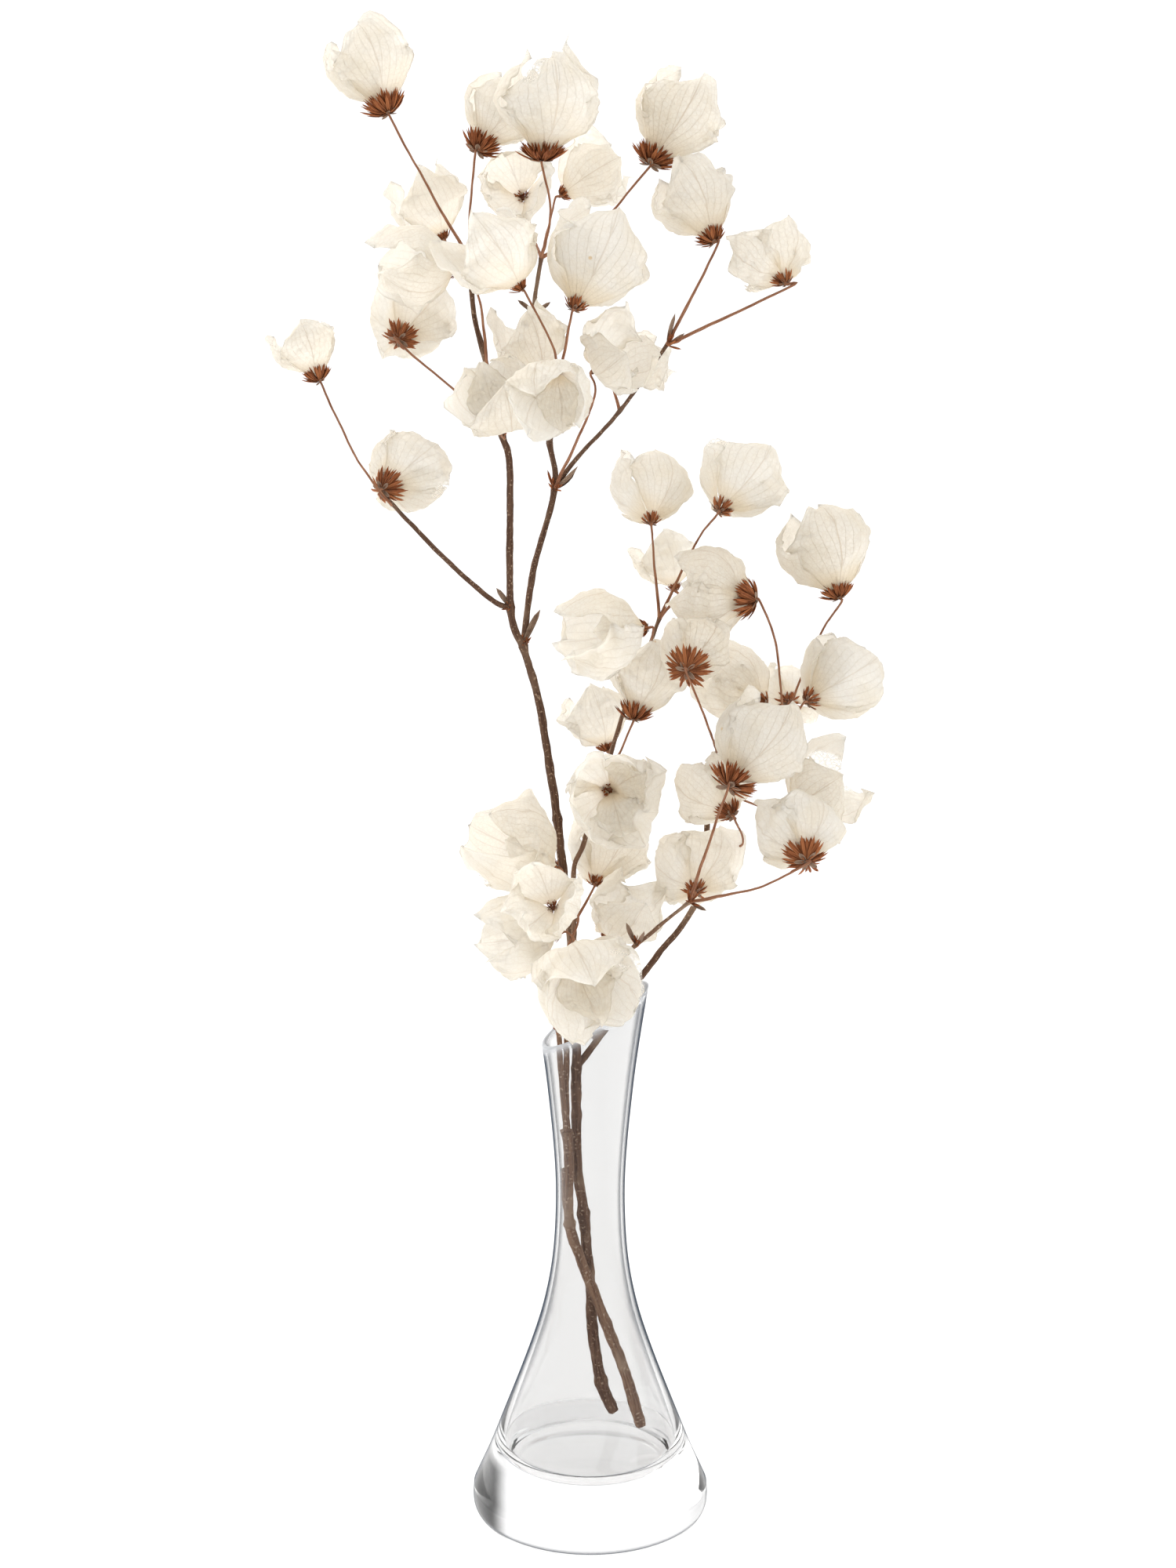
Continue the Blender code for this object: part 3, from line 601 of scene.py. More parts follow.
woody_stem = stem_tree()
dark_bark = make_bark("dark_bark", (0.075, 0.038, 0.024, 1), (0.15, 0.085, 0.054, 1), (0.36, 0.25, 0.17, 1), 0.8)
pale_bark = make_bark("pale_bark", (0.23, 0.135, 0.085, 1), (0.12, 0.064, 0.04, 1), (0.42, 0.31, 0.22, 1), 0.75)

for name, stems, knots, bark in (
    ("dark", DARK_STEMS, DARK_KNOTS, dark_bark), ("pale", PALE_STEMS, PALE_KNOTS, pale_bark),
):
    cloud = point_cloud(knots)
    wood = grown(woody_stem, {
        "Knots": cloud, "Sides": 14, "Step": 1.1 * MM, "Wander": 1.2 * MM, "Swelling": 0.35,
        "Swell Reach": 4.5 * MM, "Ridges": 0.6, "Finish": bark,
    }, routes_curve(tapered(stems)))
    bpy.data.objects.remove(cloud)
    finished(name + "_branch_wood", wood, name + "_bark", [name + "_branch"])


# The stalks: each bloom hangs on a wiry red-brown stalk that grows out of a twig and widens under
# the bloom. Rows below give where the cup sits, the way it faces, the radius of the papery globe
# and of the cup, how far the bracts spread, how many bracts there are, and the stalk's route.
Bloom = namedtuple("Bloom", "place facing globe cup spread bracts stalk")
DARK_BLOOMS = {
    "top_left": Bloom((-81, -10, 606), (-0.38, 0.3, 0.87), 16.5, 10, 0.25, 5, [LEFT_TIP, (-66, -9, 577)]),
    "top_second": Bloom((-45, 12, 591), (0.47, 0.43, 0.78), 15, 9.5, 0.1, 4, [LEFT_TIP, (-49, 6, 561)]),
    "top_middle": Bloom((-19, -20, 588), (0.05, 0, 1), 19, 10.5, 0.05, 5, [RIGHT_TIP, (-16, -8, 566)]),
    "top_right": Bloom((25, 5, 586), (0.48, 0.3, 0.83), 17, 10, 0.05, 5, [RIGHT_TIP, (5, 5, 562)]),
    "inner_back": Bloom((-28, 42, 570), (-0.19, -0.92, 0.35), 14, 4.5, 0.6, 3, [RIGHT_TIP, (-24, 42, 555)]),
    "far_back": Bloom((-12, 60, 571), (0.84, 0.16, 0.51), 15, 4.5, 0.3, 3, [RIGHT_TIP, (-18, 40, 556)]),
    "left_back": Bloom((-61, 35, 554), (-0.41, 0.1, 0.91), 14.5, 4.5, 0.3, 3, [LEFT_TIP, (-56, 18, 547)]),
    "left_globe": Bloom((-53, -25, 544), (-0.97, -0.23, 0.08), 15, 5, 0, 3, [LEFT_SHOOT, (-44, -20, 530)]),
    "left_star": Bloom((-77, -12, 516), (0.16, 0.92, 0.36), 16.5, 8, 0.5, 4, [LEFT_NODE, (-53, -12, 493)]),
    "front_left": Bloom((-27, -50, 538), (-0.61, 0, 0.8), 17, 5, 0.45, 4, [FRONT_TIP, (-15, -44, 515)]),
    "front_globe": Bloom((-6, -55, 531), (0.35, 0.48, 0.8), 19.5, 6, 0.1, 5, [FRONT_TIP]),
    "right_upper": Bloom((49, -10, 555), (-0.41, 0.39, 0.83), 16, 7.5, 0.15, 4, [OUTER_TIP]),
    "right_far": Bloom((77, -25, 539), (-0.35, 0.68, 0.64), 15, 5.5, 0.9, 4, [OUTER_TIP]),
    "middle_left": Bloom((-35, -38, 481), (-0.12, -0.57, 0.81), 16.5, 4, 0.4, 4, [LEFT_NODE]),
    "middle_low": Bloom((-13, -60, 508), (-0.14, -0.81, -0.57), 15.5, 4, 0.35, 4, [FRONT_TIP]),
    "middle_right": Bloom((2, -22, 504), (0.6, -0.64, 0.48), 15.5, 5, 0.5, 4, [RIGHT_NODE, (1, -18, 491)]),
    "middle_small": Bloom((12, 16, 498), (0.9, 0.2, 0.45), 11.5, 4, 0.4, 3, [OUTER_NODE]),
    "middle_inner": Bloom((-20, -18, 502), (-0.29, -0.1, 0.95), 13.5, 4, 0.3, 3, [FRONT_NODE]),
    "far_left": Bloom((-111, 0, 499), (-0.4, 0.3, 0.86), 12.5, 7, 0.55, 4, [
        SIDE_TIP, (-86, -28, 458), (-96, -19, 471),
    ]),
    "side_left": Bloom((-83, -25, 457), (0.45, 0.87, 0.2), 16.5, 9, 0.2, 4, [SIDE_TIP]),
    "low_fan": Bloom((39, -46, 387), (0.18, 0.95, 0.27), 14, 10, 0.3, 4, [
        LIMB_NODE, (53, 4, 338), (49, -32, 358),
    ]),
    "low_left_ear": Bloom((73, 3, 363), (-0.75, 0.55, 0.36), 15.5, 5.5, 0.3, 4, [LIMB_TIP]),
    "low_right_ear": Bloom((90, -15, 368), (0.66, 0.6, 0.3), 18, 6, 0.25, 4, [LIMB_TIP, (82, -9, 354)]),
    "low_back_ear": Bloom((84, 15, 361), (0.03, 0.99, -0.11), 14, 6, 0.3, 3, [LIMB_TIP]),
    "right_point": Bloom((102, -10, 411), (-0.28, 0.38, 0.88), 19, 8, 0.1, 5, [
        LIMB_TIP, (89, 16, 371), (97, 8, 393),
    ]),
    "right_cup": Bloom((66, -16, 410), (-0.91, 0.4, 0.12), 17.5, 10, 0.35, 4, [
        LIMB_TIP, (80, -8, 363), (76, -16, 392),
    ]),
    "low_behind": Bloom((58, -24, 322), (-0.44, 0.8, 0.39), 14.5, 7, 0.3, 3, [LIMB_ELBOW, (64, 2, 302)]),
    "low_outer": Bloom((85, 0, 319), (0.76, -0.3, 0.58), 17, 4, 0.4, 4, [LIMB_NODE, (70, 14, 317)]),
}
PALE_BLOOMS = {
    "crown": Bloom((25, 0, 440), (-0.05, 0.72, 0.69), 16, 5, 0, 4, [CROWN_NODE, (26, 3, 428)]),
    "crown_right": Bloom((53, -15, 447), (0.45, 0.7, 0.55), 17, 6, 0.3, 4, [CROWN_NODE, (43, 0, 430)]),
    "crown_small": Bloom((36, 26, 408), (-0.3, 0.35, 0.88), 12.5, 4, 0.5, 3, [CROWN_NODE]),
    "left_ear": Bloom((22, -38, 402), (-0.93, -0.37, -0.06), 17.5, 5, 0.15, 4, [
        (24, 10, 384), (25, -25, 396),
    ]),
    "column": Bloom((18, -18, 362), (0.26, 0.33, 0.91), 15.5, 9, 0.2, 4, [PALE_TOP_NODE, (12, -18, 346)]),
    "column_back": Bloom((7, 20, 340), (-0.32, 0.25, 0.91), 14, 5, 0.4, 3, [(3, -2, 324)]),
    "fan_cup": Bloom((57, -50, 341), (0.51, 0.56, 0.65), 18.5, 11, 0.1, 5, [PALE_FRONT_TIP]),
    "outer_star": Bloom((87, -52, 310), (-0.15, 0.91, 0.38), 16.5, 10, 0.4, 4, [
        PALE_FRONT_TIP, (68, -50, 297),
    ]),
    "open_face": Bloom((8, -14, 330), (0.09, -1, 0.02), 19, 6, 0.55, 5, [(1, -2, 318)]),
    "fork": Bloom((44, -17, 287), (-0.02, 0.95, 0.3), 17, 6, 0.5, 4, [PALE_FRONT_TIP]),
    "low_left": Bloom((-15, -15, 297), (-0.81, -0.31, 0.5), 19, 4, 0.1, 4, [(-7, 0, 280)]),
    "low_back": Bloom((2, 8, 284), (0.28, 0.72, 0.63), 17, 5, 0.35, 4, [PALE_MIDDLE]),
    "rim_left": Bloom((-13, -35, 274), (-0.98, -0.18, -0.05), 17.5, 5, 0.35, 4, [
        PALE_LEFT_TIP, (-7, -32, 268),
    ]),
    "rim_front": Bloom((-8, -45, 268), (0.29, -0.88, -0.37), 21, 6, 0.35, 5, [
        PALE_LEFT_TIP, (-12, -35, 264),
    ]),
    "front_small": Bloom((-15, -62, 292), (-0.19, -0.87, 0.45), 14, 4, 0.5, 3, [
        PALE_LEFT_TIP, (-5, -36, 280),
    ]),
    "rim_right": Bloom((6, -4, 264), (0.55, -0.3, 0.78), 15.5, 4, 0.35, 3, [PALE_NODE]),
}
NECK_LENGTH = 3.6
STALK_ROOT_RADIUS = 0.75
STALK_RADIUS = 0.48
STALK_HEAD_RADIUS = 1.1
STALK_HEAD_LENGTH = 1.6


def stalk_route(bloom):
    """A stalk's route: out of its twig, then straight into the cup over its neck."""
    axis = Vector(bloom.facing).normalized()
    place = Vector(bloom.place)
    route = [(STALK_ROOT_RADIUS, bloom.stalk[0])]
    route += [(STALK_RADIUS, corner) for corner in bloom.stalk[1:]]
    route.append((STALK_RADIUS, place - axis * NECK_LENGTH))
    route.append((STALK_RADIUS * 1.3, place - axis * STALK_HEAD_LENGTH))
    route.append((STALK_HEAD_RADIUS, place - axis * 0.2))
    return route


def make_stalk_skin():
    """The stalks' thin skin: red-brown with lighter stretches."""
    skin, graph, shader = new_material("stalk_skin", Roughness=0.7, Specular_IOR_Level=0.12)
    run = graph.attribute("along", "Fac")
    angle = graph.attribute("around", "Fac") * math.tau
    streak = graph.noise(graph.vector(angle.cos(), angle.sin(), run * 160), 1.0, detail=3.0)
    colour = graph.mixed(streak.band(0.3, 0.7), (0.2, 0.08, 0.042, 1), (0.38, 0.19, 0.11, 1))
    graph.tree.links.new(colour.socket, shader.inputs["Base Color"])
    return skin


stalk_skin = make_stalk_skin()
for name, blooms, knots in (
    ("dark", DARK_BLOOMS, DARK_KNOTS), ("pale", PALE_BLOOMS, PALE_KNOTS),
):
    cloud = point_cloud(knots)
    stalks = grown(woody_stem, {
        "Knots": cloud, "Sides": 8, "Step": 1.2 * MM, "Wander": 1.4 * MM, "Swelling": 0.3,
        "Swell Reach": 3 * MM, "Ridges": 0.4, "Finish": stalk_skin,
    }, routes_curve([stalk_route(bloom) for bloom in blooms.values()]))
    bpy.data.objects.remove(cloud)
    finished(name + "_branch_stalks", stalks, name + "_bark", [name + "_branch"])


# The ruffs: under each bloom a fan of narrow folded scales, dark red-brown with painted highlights on
# their edges and painted shade at their feet, stands round the head of the stalk, on a few broader grey-brown sepals.
GOLDEN_TURN = math.pi * (3 - math.sqrt(5))
RUFF_DROP = 0.22


def blade(graph, width, fold, curl, columns=3, rows=6):
    """A folded, pointed blade of unit length along Y, with its attributes for the material."""
    values = {"Size X": 2.0, "Size Y": 1.0, "Vertices X": columns, "Vertices Y": rows}
    sheet = graph.node("GeometryNodeMeshGrid", values=values)
    split = graph.node("ShaderNodeSeparateXYZ", values=[graph.node("GeometryNodeInputPosition")])
    across, along = split, split.out("Y") + 0.5
    half = (along + 0.06) ** 0.8 * (1.001 - along) ** 0.6 * width
    rise = (1 - abs(across)) * fold * half + along * along * curl
    place = graph.vector(across * half, along, rise)
    leaf = graph.vector(across, along, 0.0)
    sheet = graph.node(
        "GeometryNodeStoreNamedAttribute", {"data_type": "FLOAT_VECTOR", "domain": "POINT"},
        {"Geometry": sheet, "Name": "leaf", "Value": leaf},
    )
    return graph.node("GeometryNodeSetPosition", values={"Geometry": sheet, "Position": place})


def random_value(graph, low, high, seed):
    """A random value for each point."""
    values = {2: low, 3: high, "Seed": seed}
    return graph.node("FunctionNodeRandomValue", {"data_type": "FLOAT"}, values, output=1)


def ruff_tree():
    """Blades set round an axis by the golden angle, the outer ones low and the inner steeper."""
    tree, graph, given = new_tree("scale_ruff", {
        "Count": "Int", "Radius": "Float", "Foot": "Float", "Low": "Float", "High": "Float",
        "Inner Length": "Float", "Width": "Float", "Fold": "Float", "Curl": "Float",
        "Seed": "Int", "Finish": "Material",
    })
    index = graph.node("GeometryNodeInputIndex")
    share = index / given["Count"]
    turn = index * GOLDEN_TURN + random_value(graph, -0.16, 0.16, given["Seed"])
    tilt = given["Low"] + (given["High"] - given["Low"]) * share
    tilt = tilt + random_value(graph, -0.13, 0.13, given["Seed"] + 1)
    length = given["Radius"] * (1 - share * (1 - given["Inner Length"]))
    length = length * random_value(graph, 0.86, 1.06, given["Seed"] + 2)
    foot = given["Foot"] * (1 - share * 0.6)
    place = graph.vector(turn.sin() * foot * -1, turn.cos() * foot, share * given["Foot"] * 0.5)
    points = graph.node("GeometryNodePoints", values={"Count": given["Count"], "Position": place})
    roll = random_value(graph, -0.35, 0.35, given["Seed"] + 3)
    rotation = graph.node("FunctionNodeEulerToRotation", values=[graph.vector(tilt, roll, turn)])
    one = blade(graph, given["Width"], given["Fold"], given["Curl"])
    scale = graph.vector(length, length, length)
    fan = graph.node(
        "GeometryNodeInstanceOnPoints",
        values={"Points": points, "Instance": one, "Rotation": rotation, "Scale": scale},
    )
    fan = graph.node(
        "GeometryNodeStoreNamedAttribute", {"data_type": "FLOAT", "domain": "INSTANCE"},
        {"Geometry": fan, "Name": "tone", "Value": random_value(graph, 0.0, 1.0, given["Seed"] + 4)},
    )
    end_tree(graph, fan, given["Finish"])
    return tree


def frame_at(place, facing):
    """The matrix that sets a shape made in millimetres at a place, with its Z along facing."""
    axis = Vector(facing).normalized()
    first = axis.orthogonal().normalized()
    turned = Matrix((first, axis.cross(first), axis)).transposed().to_4x4()
    return Matrix.Translation(Vector(place) * MM) @ turned @ Matrix.Scale(MM, 4)


def joined(name, meshes):
    """One mesh from several, with their attributes and materials kept."""
    holders = []
    for mesh in meshes:
        holder = bpy.data.objects.new(name, mesh)
        bpy.context.scene.collection.objects.link(holder)
        holders.append(holder)
    with bpy.context.temp_override(
        active_object=holders[0], selected_editable_objects=holders, selected_objects=holders
    ):
        bpy.ops.object.join()
    mesh = holders[0].data
    mesh.name = name
    bpy.data.objects.remove(holders[0])
    return mesh


def make_scale_skin(name, dark, middle, light, roughness):
    """A dry scale: painted shade makes it darkest at its foot and along its fold, and painted highlights make it
    lighter at its edges and tip.
    """
    skin, graph, shader = new_material(name, Roughness=roughness, Specular_IOR_Level=0.12)
    split = graph.node("ShaderNodeSeparateXYZ", values=[graph.attribute("leaf")])
    across, along = split, split.out("Y")
    place = graph.node("ShaderNodeTexCoord", output="Object")
    tone = graph.attribute("tone", "Fac")
    mottle = graph.noise(place, 420.0, detail=3.0)
    fibres = graph.noise(graph.vector(across * 3, along * 1.2, mottle * 0.5), 4.0)
    # Painted shade: the dark colour at the foot of each scale, where the scales crowd.
    colour = graph.mixed(along.band(0.05, 0.75), dark, middle)
    # Painted highlight: the light colour on each scale's edges.
    colour = graph.mixed(abs(across).band(0.45, 1.0, 0, 0.7), colour, light)
    colour = graph.mixed(fibres.band(0.4, 0.7, 0, 0.5), colour, light)
    colour = graph.mixed(mottle.band(0.5, 0.75, 0, 0.6), colour, dark)
    colour = graph.mixed(tone.band(0.45, 1.0, 0, 0.6), colour, light)
    graph.tree.links.new(colour.socket, shader.inputs["Base Color"])
    return skin


scale_ruff = ruff_tree()
# In both skins the dark colour is painted shade at the scales' feet and also their real mottling; the light one is a
# painted highlight on their edges and also their fibres and paler scales.
scale_skin = make_scale_skin(
    "ruff_scale", (0.05, 0.012, 0.006, 1), (0.22, 0.062, 0.022, 1), (0.48, 0.18, 0.07, 1), 0.65
)
sepal_skin = make_scale_skin(
    "dry_sepal", (0.07, 0.035, 0.02, 1), (0.2, 0.125, 0.085, 1), (0.36, 0.26, 0.19, 1), 0.75
)


def make_ruff(name, bloom):
    """A bloom's scales and sepals in its own frame, then set under it."""
    draw = random.Random(name + " ruff")
    wide = (bloom.cup - 4) / 7
    scales = grown(scale_ruff, {
        "Count": round(30 + 70 * wide), "Radius": bloom.cup * 0.98, "Foot": 1.3,
        "Low": math.radians(34 - 26 * wide), "High": math.radians(66 - 32 * wide),
        "Inner Length": 0.98, "Width": 0.15 + 0.06 * (1 - wide), "Fold": 0.9,
        "Curl": draw.uniform(0.18, 0.34),
        "Seed": draw.randrange(1000), "Finish": scale_skin,
    })
    sepals = grown(scale_ruff, {
        "Count": 5, "Radius": bloom.cup * draw.uniform(0.42, 0.62), "Foot": 0.4,
        "Low": math.radians(4 - 10 * wide), "High": math.radians(14 - 10 * wide),
        "Inner Length": 0.9, "Width": 0.52, "Fold": 0.35, "Curl": draw.uniform(-0.02, 0.16),
        "Seed": draw.randrange(1000), "Finish": sepal_skin,
    })
    sunk = Vector(bloom.place) - Vector(bloom.facing).normalized() * (RUFF_DROP * bloom.cup)
    for mesh in (scales, sepals):
        mesh.transform(frame_at(sunk, bloom.facing))
    return [scales, sepals]


for branch, blooms in (("dark", DARK_BLOOMS), ("pale", PALE_BLOOMS)):
    ruffs = [mesh for name, bloom in blooms.items() for mesh in make_ruff(name, bloom)]
    mesh = joined(branch + "_branch_ruffs", ruffs)
    finished(branch + "_branch_ruffs", mesh, branch + "_bark", [branch + "_branch"])


# The small dry leaves: folded, curled grey-brown leaves and little fans of bud scales are left at
# the forks, where the sprays grew out.
DARK_LEAVES = [
    (SIDE_FORK, (-0.7, -0.2, 0.7), 11), (DARK_FORK, (0.3, 0.1, 1.0), 16),
    (RIGHT_NODE, (0.8, -0.2, 0.6), 12), (RIGHT_NODE, (0.6, -0.5, 0.7), 16),
    (LEFT_NODE, (-0.8, -0.3, 0.5), 8), ((-23, 14, 524), (-0.8, 0, 0.6), 9),
    ((-23, 14, 524), (0.8, 0, 0.6), 9), (OUTER_TIP, (0.2, -0.3, 1.0), 14),
    (OUTER_TIP, (0.8, 0.4, 0.3), 9), (LIMB_NODE, (-0.7, 0.2, 0.7), 9),
]
DARK_BUDS = [
    (OUTER_TIP, (0.5, -0.6, 0.5), 7), (RIGHT_NODE, (0.2, -0.7, 0.7), 8),
    (DARK_FORK, (0.4, -0.5, 0.8), 5), (SIDE_FORK, (-0.6, -0.6, 0.4), 5),
    (LIMB_TIP, (0.1, -0.6, 0.8), 6),
]
PALE_LEAVES = [
    ((-13, -15, 225), (-0.6, -0.2, 0.8), 10), (PALE_FRONT_NODE, (-0.5, -0.3, 0.8), 11),
    (PALE_FRONT_NODE, (0.4, -0.6, 0.7), 9), (PALE_FRONT_TIP, (0.6, -0.5, -0.3), 9),
    (PALE_TOP_NODE, (-0.3, -0.5, 0.9), 9),
]
PALE_BUDS = [
    (PALE_FRONT_NODE, (0.1, -0.6, 0.8), 6), (PALE_FRONT_TIP, (0.2, -0.7, 0.6), 6),
    ((-13, -15, 225), (-0.3, -0.6, 0.7), 5),
]


def make_leaf(index, place, facing, length):
    """One dry leaf, which grows out along facing."""
    draw = random.Random(index)
    leaf = grown(scale_ruff, {
        "Count": 1, "Radius": length, "Foot": 0.0, "Low": math.radians(90),
        "High": math.radians(90), "Inner Length": 1.0, "Width": draw.uniform(0.24, 0.34),
        "Fold": draw.uniform(0.5, 0.9), "Curl": draw.uniform(-0.25, 0.25),
        "Seed": index, "Finish": sepal_skin,
    })
    leaf.transform(frame_at(place, facing))
    return leaf


def make_bud(index, place, facing, length):
    """A little upright fan of bud scales."""
    bud = grown(scale_ruff, {
        "Count": 9, "Radius": length, "Foot": 0.5, "Low": math.radians(42),
        "High": math.radians(86), "Inner Length": 0.8, "Width": 0.22, "Fold": 0.9, "Curl": 0.1,
        "Seed": index, "Finish": scale_skin,
    })
    bud.transform(frame_at(place, facing))
    return bud


for branch, leaves, buds in (
    ("dark", DARK_LEAVES, DARK_BUDS), ("pale", PALE_LEAVES, PALE_BUDS),
):
    pieces = [make_leaf(index, *leaf) for index, leaf in enumerate(leaves)]
    pieces += [make_bud(index, *bud) for index, bud in enumerate(buds)]
    mesh = joined(branch + "_branch_leaves", pieces)
    finished(branch + "_branch_leaves", mesh, branch + "_bark", [branch + "_branch"])


# The blooms: papery bracts, bleached cream and as thin as tissue, curl up from the ruff and close
# over one another into a lantern. The outer three stand a little askew, each with one margin
# under the next, and the inner ones fill the gaps between them.
BRACT_ROOT_RADIUS = 1.0
PAPER_THICKNESS = 0.14
OUTER_BRACTS = 3
OUTER = {
    "root": 1.5, "start": 14, "reach": 0.92, "tall": 2.06, "half": 0.92, "close": 0, "lap": 0.8,
    "wave": 0.06,
}
INNER = {
    "root": 2.7, "start": 30, "reach": 0.62, "tall": 1.9, "half": 0.5, "close": 29, "lap": 0,
    "wave": 0.04,
}
SHUT_STOP = 154
WIDE_STOP = 100
WIDENING = 1.28
LIFT = 0.34


def bract_tree():
    """One bract: a grid whose rows curl from the hub up round the globe, in millimetres."""
    tree, graph, given = new_tree("papery_bract", {
        "Root": "Float", "Turn": "Float", "Start": "Float", "Stop": "Float", "Reach": "Float",
        "Tall": "Float", "Lift": "Float", "Half": "Float", "Cupping": "Float", "Wave": "Float",
        "Left Phase": "Float", "Right Phase": "Float", "Lap": "Float", "Drift": "Float",
        "Flare": "Float", "Crumple": "Float", "Seed": "Float", "Tone": "Float",
        "Finish": "Material",
    })
    values = {"Size X": 2.0, "Size Y": 1.0, "Vertices X": 19, "Vertices Y": 29}
    sheet = graph.node("GeometryNodeMeshGrid", values=values)
    split = graph.node("ShaderNodeSeparateXYZ", values=[graph.node("GeometryNodeInputPosition")])
    across, along = split, split.out("Y") + 0.5
    start = given["Start"]
    slope = start + (given["Stop"] - start) * along
    outward = (slope.sin() - start.sin()) / (1 - start.sin())
    upward = (start.cos() - slope.cos()) / (start.cos() + 1)
    reach = given["Reach"] * outward + BRACT_ROOT_RADIUS
    height = given["Tall"] * upward + given["Root"] + given["Lift"] * along.band(0.0, 0.16)

    side = across > 0
    phase = given["Left Phase"] * (1 - side) + given["Right Phase"] * side
    margin = graph.noise(graph.vector(along * 8, side * 5, given["Seed"]), 1.0, detail=5.0)
    ragged = 1 + (margin - 0.5) * across * across * 0.6
    outline = (along ** 0.9 * math.pi).sin().most(0) ** 0.8
    angle = given["Half"] * outline * across * ragged / given["Cupping"]
    sideways = given["Cupping"] * angle.sin()

    ripple = given["Wave"] * ((phase + along * 10).sin() * 2.0 + (phase * 3 + along * 24).sin() * 0.8)
    swing = graph.noise(graph.vector(along * 3, side * 7, given["Seed"]), 1.0) - 0.5
    pleat = (across * 8 + phase).sin() * (along * math.pi).sin() * given["Wave"] * 0.45
    calm = (along * 4).least(1)
    paper = graph.vector(across * outline * 1.3, along * 2.4, given["Seed"])
    folds = abs(graph.noise(paper, 1.5, detail=1.0) - 0.5)
    crinkle = graph.noise(paper, 5.0, detail=3.0) - 0.5
    crumple = given["Crumple"] * (folds * -5 + crinkle * 1.5 + 0.4)
    flare = (along - 0.6).most(0)
    flap = swing * abs(across) ** 3 * given["Wave"] * 16
    proud = (ripple * abs(across) ** 2 + flap + pleat + given["Lap"] * across + crumple) * calm
    proud = proud + given["Flare"] * flare * flare - given["Cupping"] * (1 - angle.cos())
    reach = reach + proud * slope.sin()
    height = height - proud * slope.cos()
    turn = given["Turn"] + given["Drift"] * along
    place = graph.vector(
        reach * turn.cos() - sideways * turn.sin(),
        reach * turn.sin() + sideways * turn.cos(),
        height,
    )
    sheet = graph.node(
        "GeometryNodeStoreNamedAttribute", {"data_type": "FLOAT_VECTOR", "domain": "POINT"},
        {"Geometry": sheet, "Name": "leaf", "Value": graph.vector(across, along, given["Tone"])},
    )
    sheet = graph.node("GeometryNodeSetPosition", values={"Geometry": sheet, "Position": place})
    sheet = graph.node("GeometryNodeMergeByDistance", values={"Geometry": sheet, "Distance": 0.02})
    end_tree(graph, sheet, given["Finish"])
    return tree


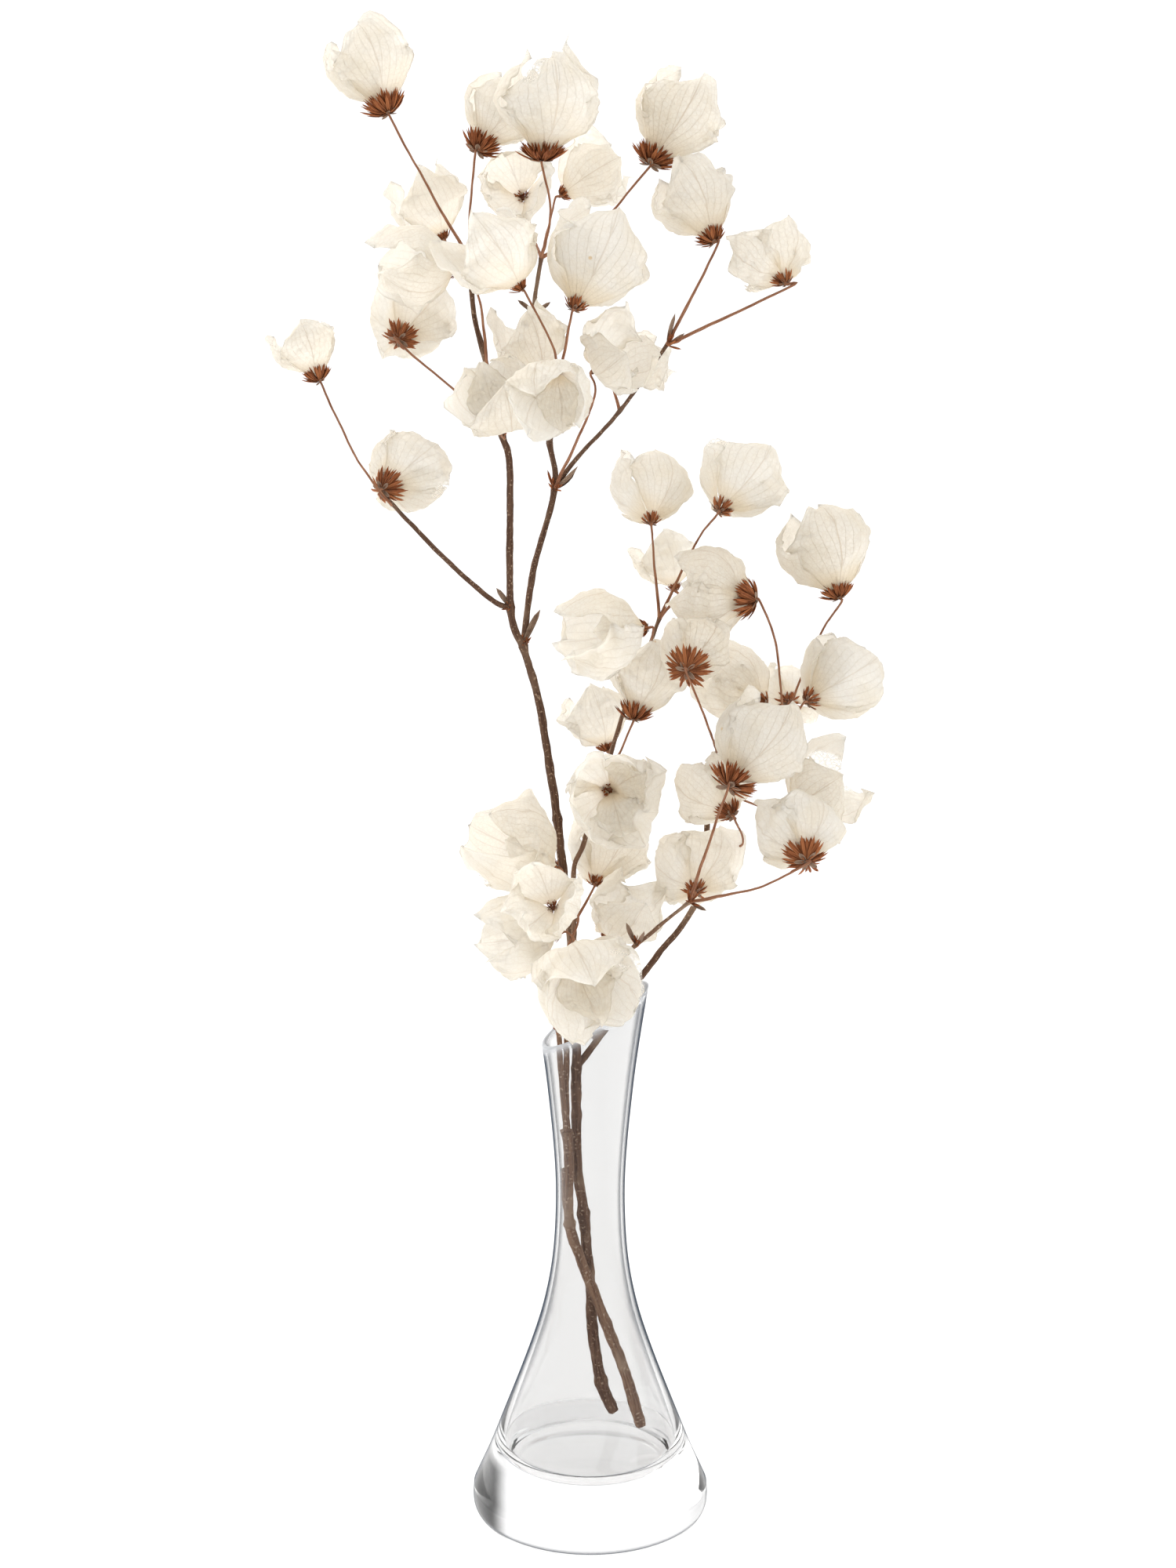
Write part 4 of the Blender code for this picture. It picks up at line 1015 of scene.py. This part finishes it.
def make_paper():
    """Bleached bract: cream, yellower at its foot, with fine veins, ochre dots and bare net."""
    paper, graph, shader = new_material("papery_bract", Roughness=0.62, Sheen_Weight=0.15)
    split = graph.node("ShaderNodeSeparateXYZ", values=[graph.attribute("leaf")])
    across, along, tone = split, split.out("Y"), split.out("Z")
    place = graph.node("ShaderNodeTexCoord", output="Object")
    cloud = graph.noise(place, 70.0, detail=3.0)
    crinkle = graph.noise(place, 260.0, detail=3.0)

    bent = abs(across) - along * 0.45 + (cloud - 0.5) * 0.08
    ribs = abs((bent * 5.5).math("FRACT") - 0.5)
    rib = ribs.band(0.0, 0.055, 1, 0) * along.band(0.85, 1.0, 1, 0) * 0.7
    rib = rib.most(abs(across).band(0.0, 0.025, 1, 0))
    cells = graph.node(
        "ShaderNodeTexVoronoi", {"feature": "DISTANCE_TO_EDGE"}, {"Vector": place, "Scale": 520.0}
    )
    net = cells.band(0.0, 0.12, 1, 0)
    vein = (rib + net * 0.35).least(1)
    edge = abs(across).band(0.9, 1.0)

    spots = graph.node("ShaderNodeTexVoronoi", values={"Vector": place, "Scale": 75.0})
    chosen = graph.node("ShaderNodeSeparateColor", values=[spots.out("Color")]).band(0.86, 0.88)
    spot = spots.band(0.05, 0.075, 1, 0) * chosen

    colour = graph.mixed(cloud.band(0.35, 0.7), (0.96, 0.945, 0.905, 1), (0.93, 0.875, 0.765, 1))
    colour = graph.mixed(tone * 0.5, colour, (0.93, 0.865, 0.73, 1))
    colour = graph.mixed(along.band(0.0, 0.25, 0.75, 0), colour, (0.88, 0.7, 0.42, 1))
    colour = graph.mixed(edge * 0.35, colour, (0.86, 0.74, 0.55, 1))
    colour = graph.mixed(vein * (tone * 0.45 + 0.35), colour, (0.62, 0.44, 0.27, 1))
    colour = graph.mixed(spot * 0.9, colour, (0.7, 0.45, 0.16, 1))
    graph.tree.links.new(colour.socket, shader.inputs["Base Color"])
    bump = graph.node("ShaderNodeBump", values={"Strength": 0.8, "Distance": 0.0009, "Height": crinkle + vein * 0.3})
    graph.tree.links.new(bump.socket, shader.inputs["Normal"])

    glow = graph.node("ShaderNodeBsdfTranslucent", values={"Color": (0.99, 0.975, 0.94, 1)})
    body = graph.node("ShaderNodeMixShader", values=[0.55, Socket(graph, shader.outputs[0]), glow])
    bare = graph.noise(place, 26.0, detail=1.0).band(0.7, 0.74) * (1 - net)
    clear = graph.node("ShaderNodeBsdfTransparent")
    sheer = graph.node("ShaderNodeMixShader", values=[bare * 0.7 + 0.14, body, clear])
    output = graph.tree.nodes["Material Output"]
    graph.tree.links.new(sheer.socket, output.inputs["Surface"])
    return paper


papery_bract = bract_tree()
paper = make_paper()


def bract_values(draw, whim, index, bloom):
    """The sizes of one bract of a bloom: the first draws are the CAD's own, in its order."""
    kind = INNER if index >= OUTER_BRACTS else OUTER
    size = bloom.globe
    turn = (index + (0.5 if kind is INNER else 0)) / OUTER_BRACTS
    stop = SHUT_STOP + (WIDE_STOP - SHUT_STOP) * bloom.spread * draw.uniform(0.8, 1.15)
    return {
        "Root": float(kind["root"]),
        "Turn": math.tau * turn + draw.uniform(-0.07, 0.07),
        "Start": math.radians(kind["start"]),
        "Stop": math.radians(stop - kind["close"]),
        "Reach": size * kind["reach"] * draw.uniform(0.95, 1.03),
        "Tall": size * kind["tall"] * draw.uniform(0.95, 1.03) - LIFT * bloom.cup,
        "Lift": LIFT * bloom.cup,
        "Half": size * kind["half"] * WIDENING * draw.uniform(0.94, 1.0),
        "Cupping": size * draw.uniform(1.05, 1.5),
        "Wave": size * kind["wave"] * draw.uniform(0.5, 1.3),
        "Left Phase": draw.uniform(0, math.tau),
        "Right Phase": draw.uniform(0, math.tau),
        "Lap": float(kind["lap"]) * 1.6,
        "Drift": draw.uniform(-0.07, 0.07),
        "Flare": size * whim.uniform(-0.3, 2.2),
        "Crumple": whim.uniform(0.7, 1.6),
        "Seed": whim.uniform(0, 50),
        "Tone": whim.uniform(0, 1),
        "Finish": paper,
    }


for name, bloom in (DARK_BLOOMS | PALE_BLOOMS).items():
    draw, whim = random.Random(name), random.Random(name + " paper")
    bracts = []
    for index in range(bloom.bracts):
        bract = grown(papery_bract, bract_values(draw, whim, index, bloom))
        bract.transform(frame_at(bloom.place, bloom.facing))
        bracts.append(bract)
    mesh = joined("bloom_" + name + "_bracts", bracts)
    piece = finished(mesh.name, mesh, "papery_bract", ["bloom_" + name])
    thickness = piece.modifiers.new("paper", "SOLIDIFY")
    thickness.thickness = PAPER_THICKNESS * MM
    thickness.offset = 0
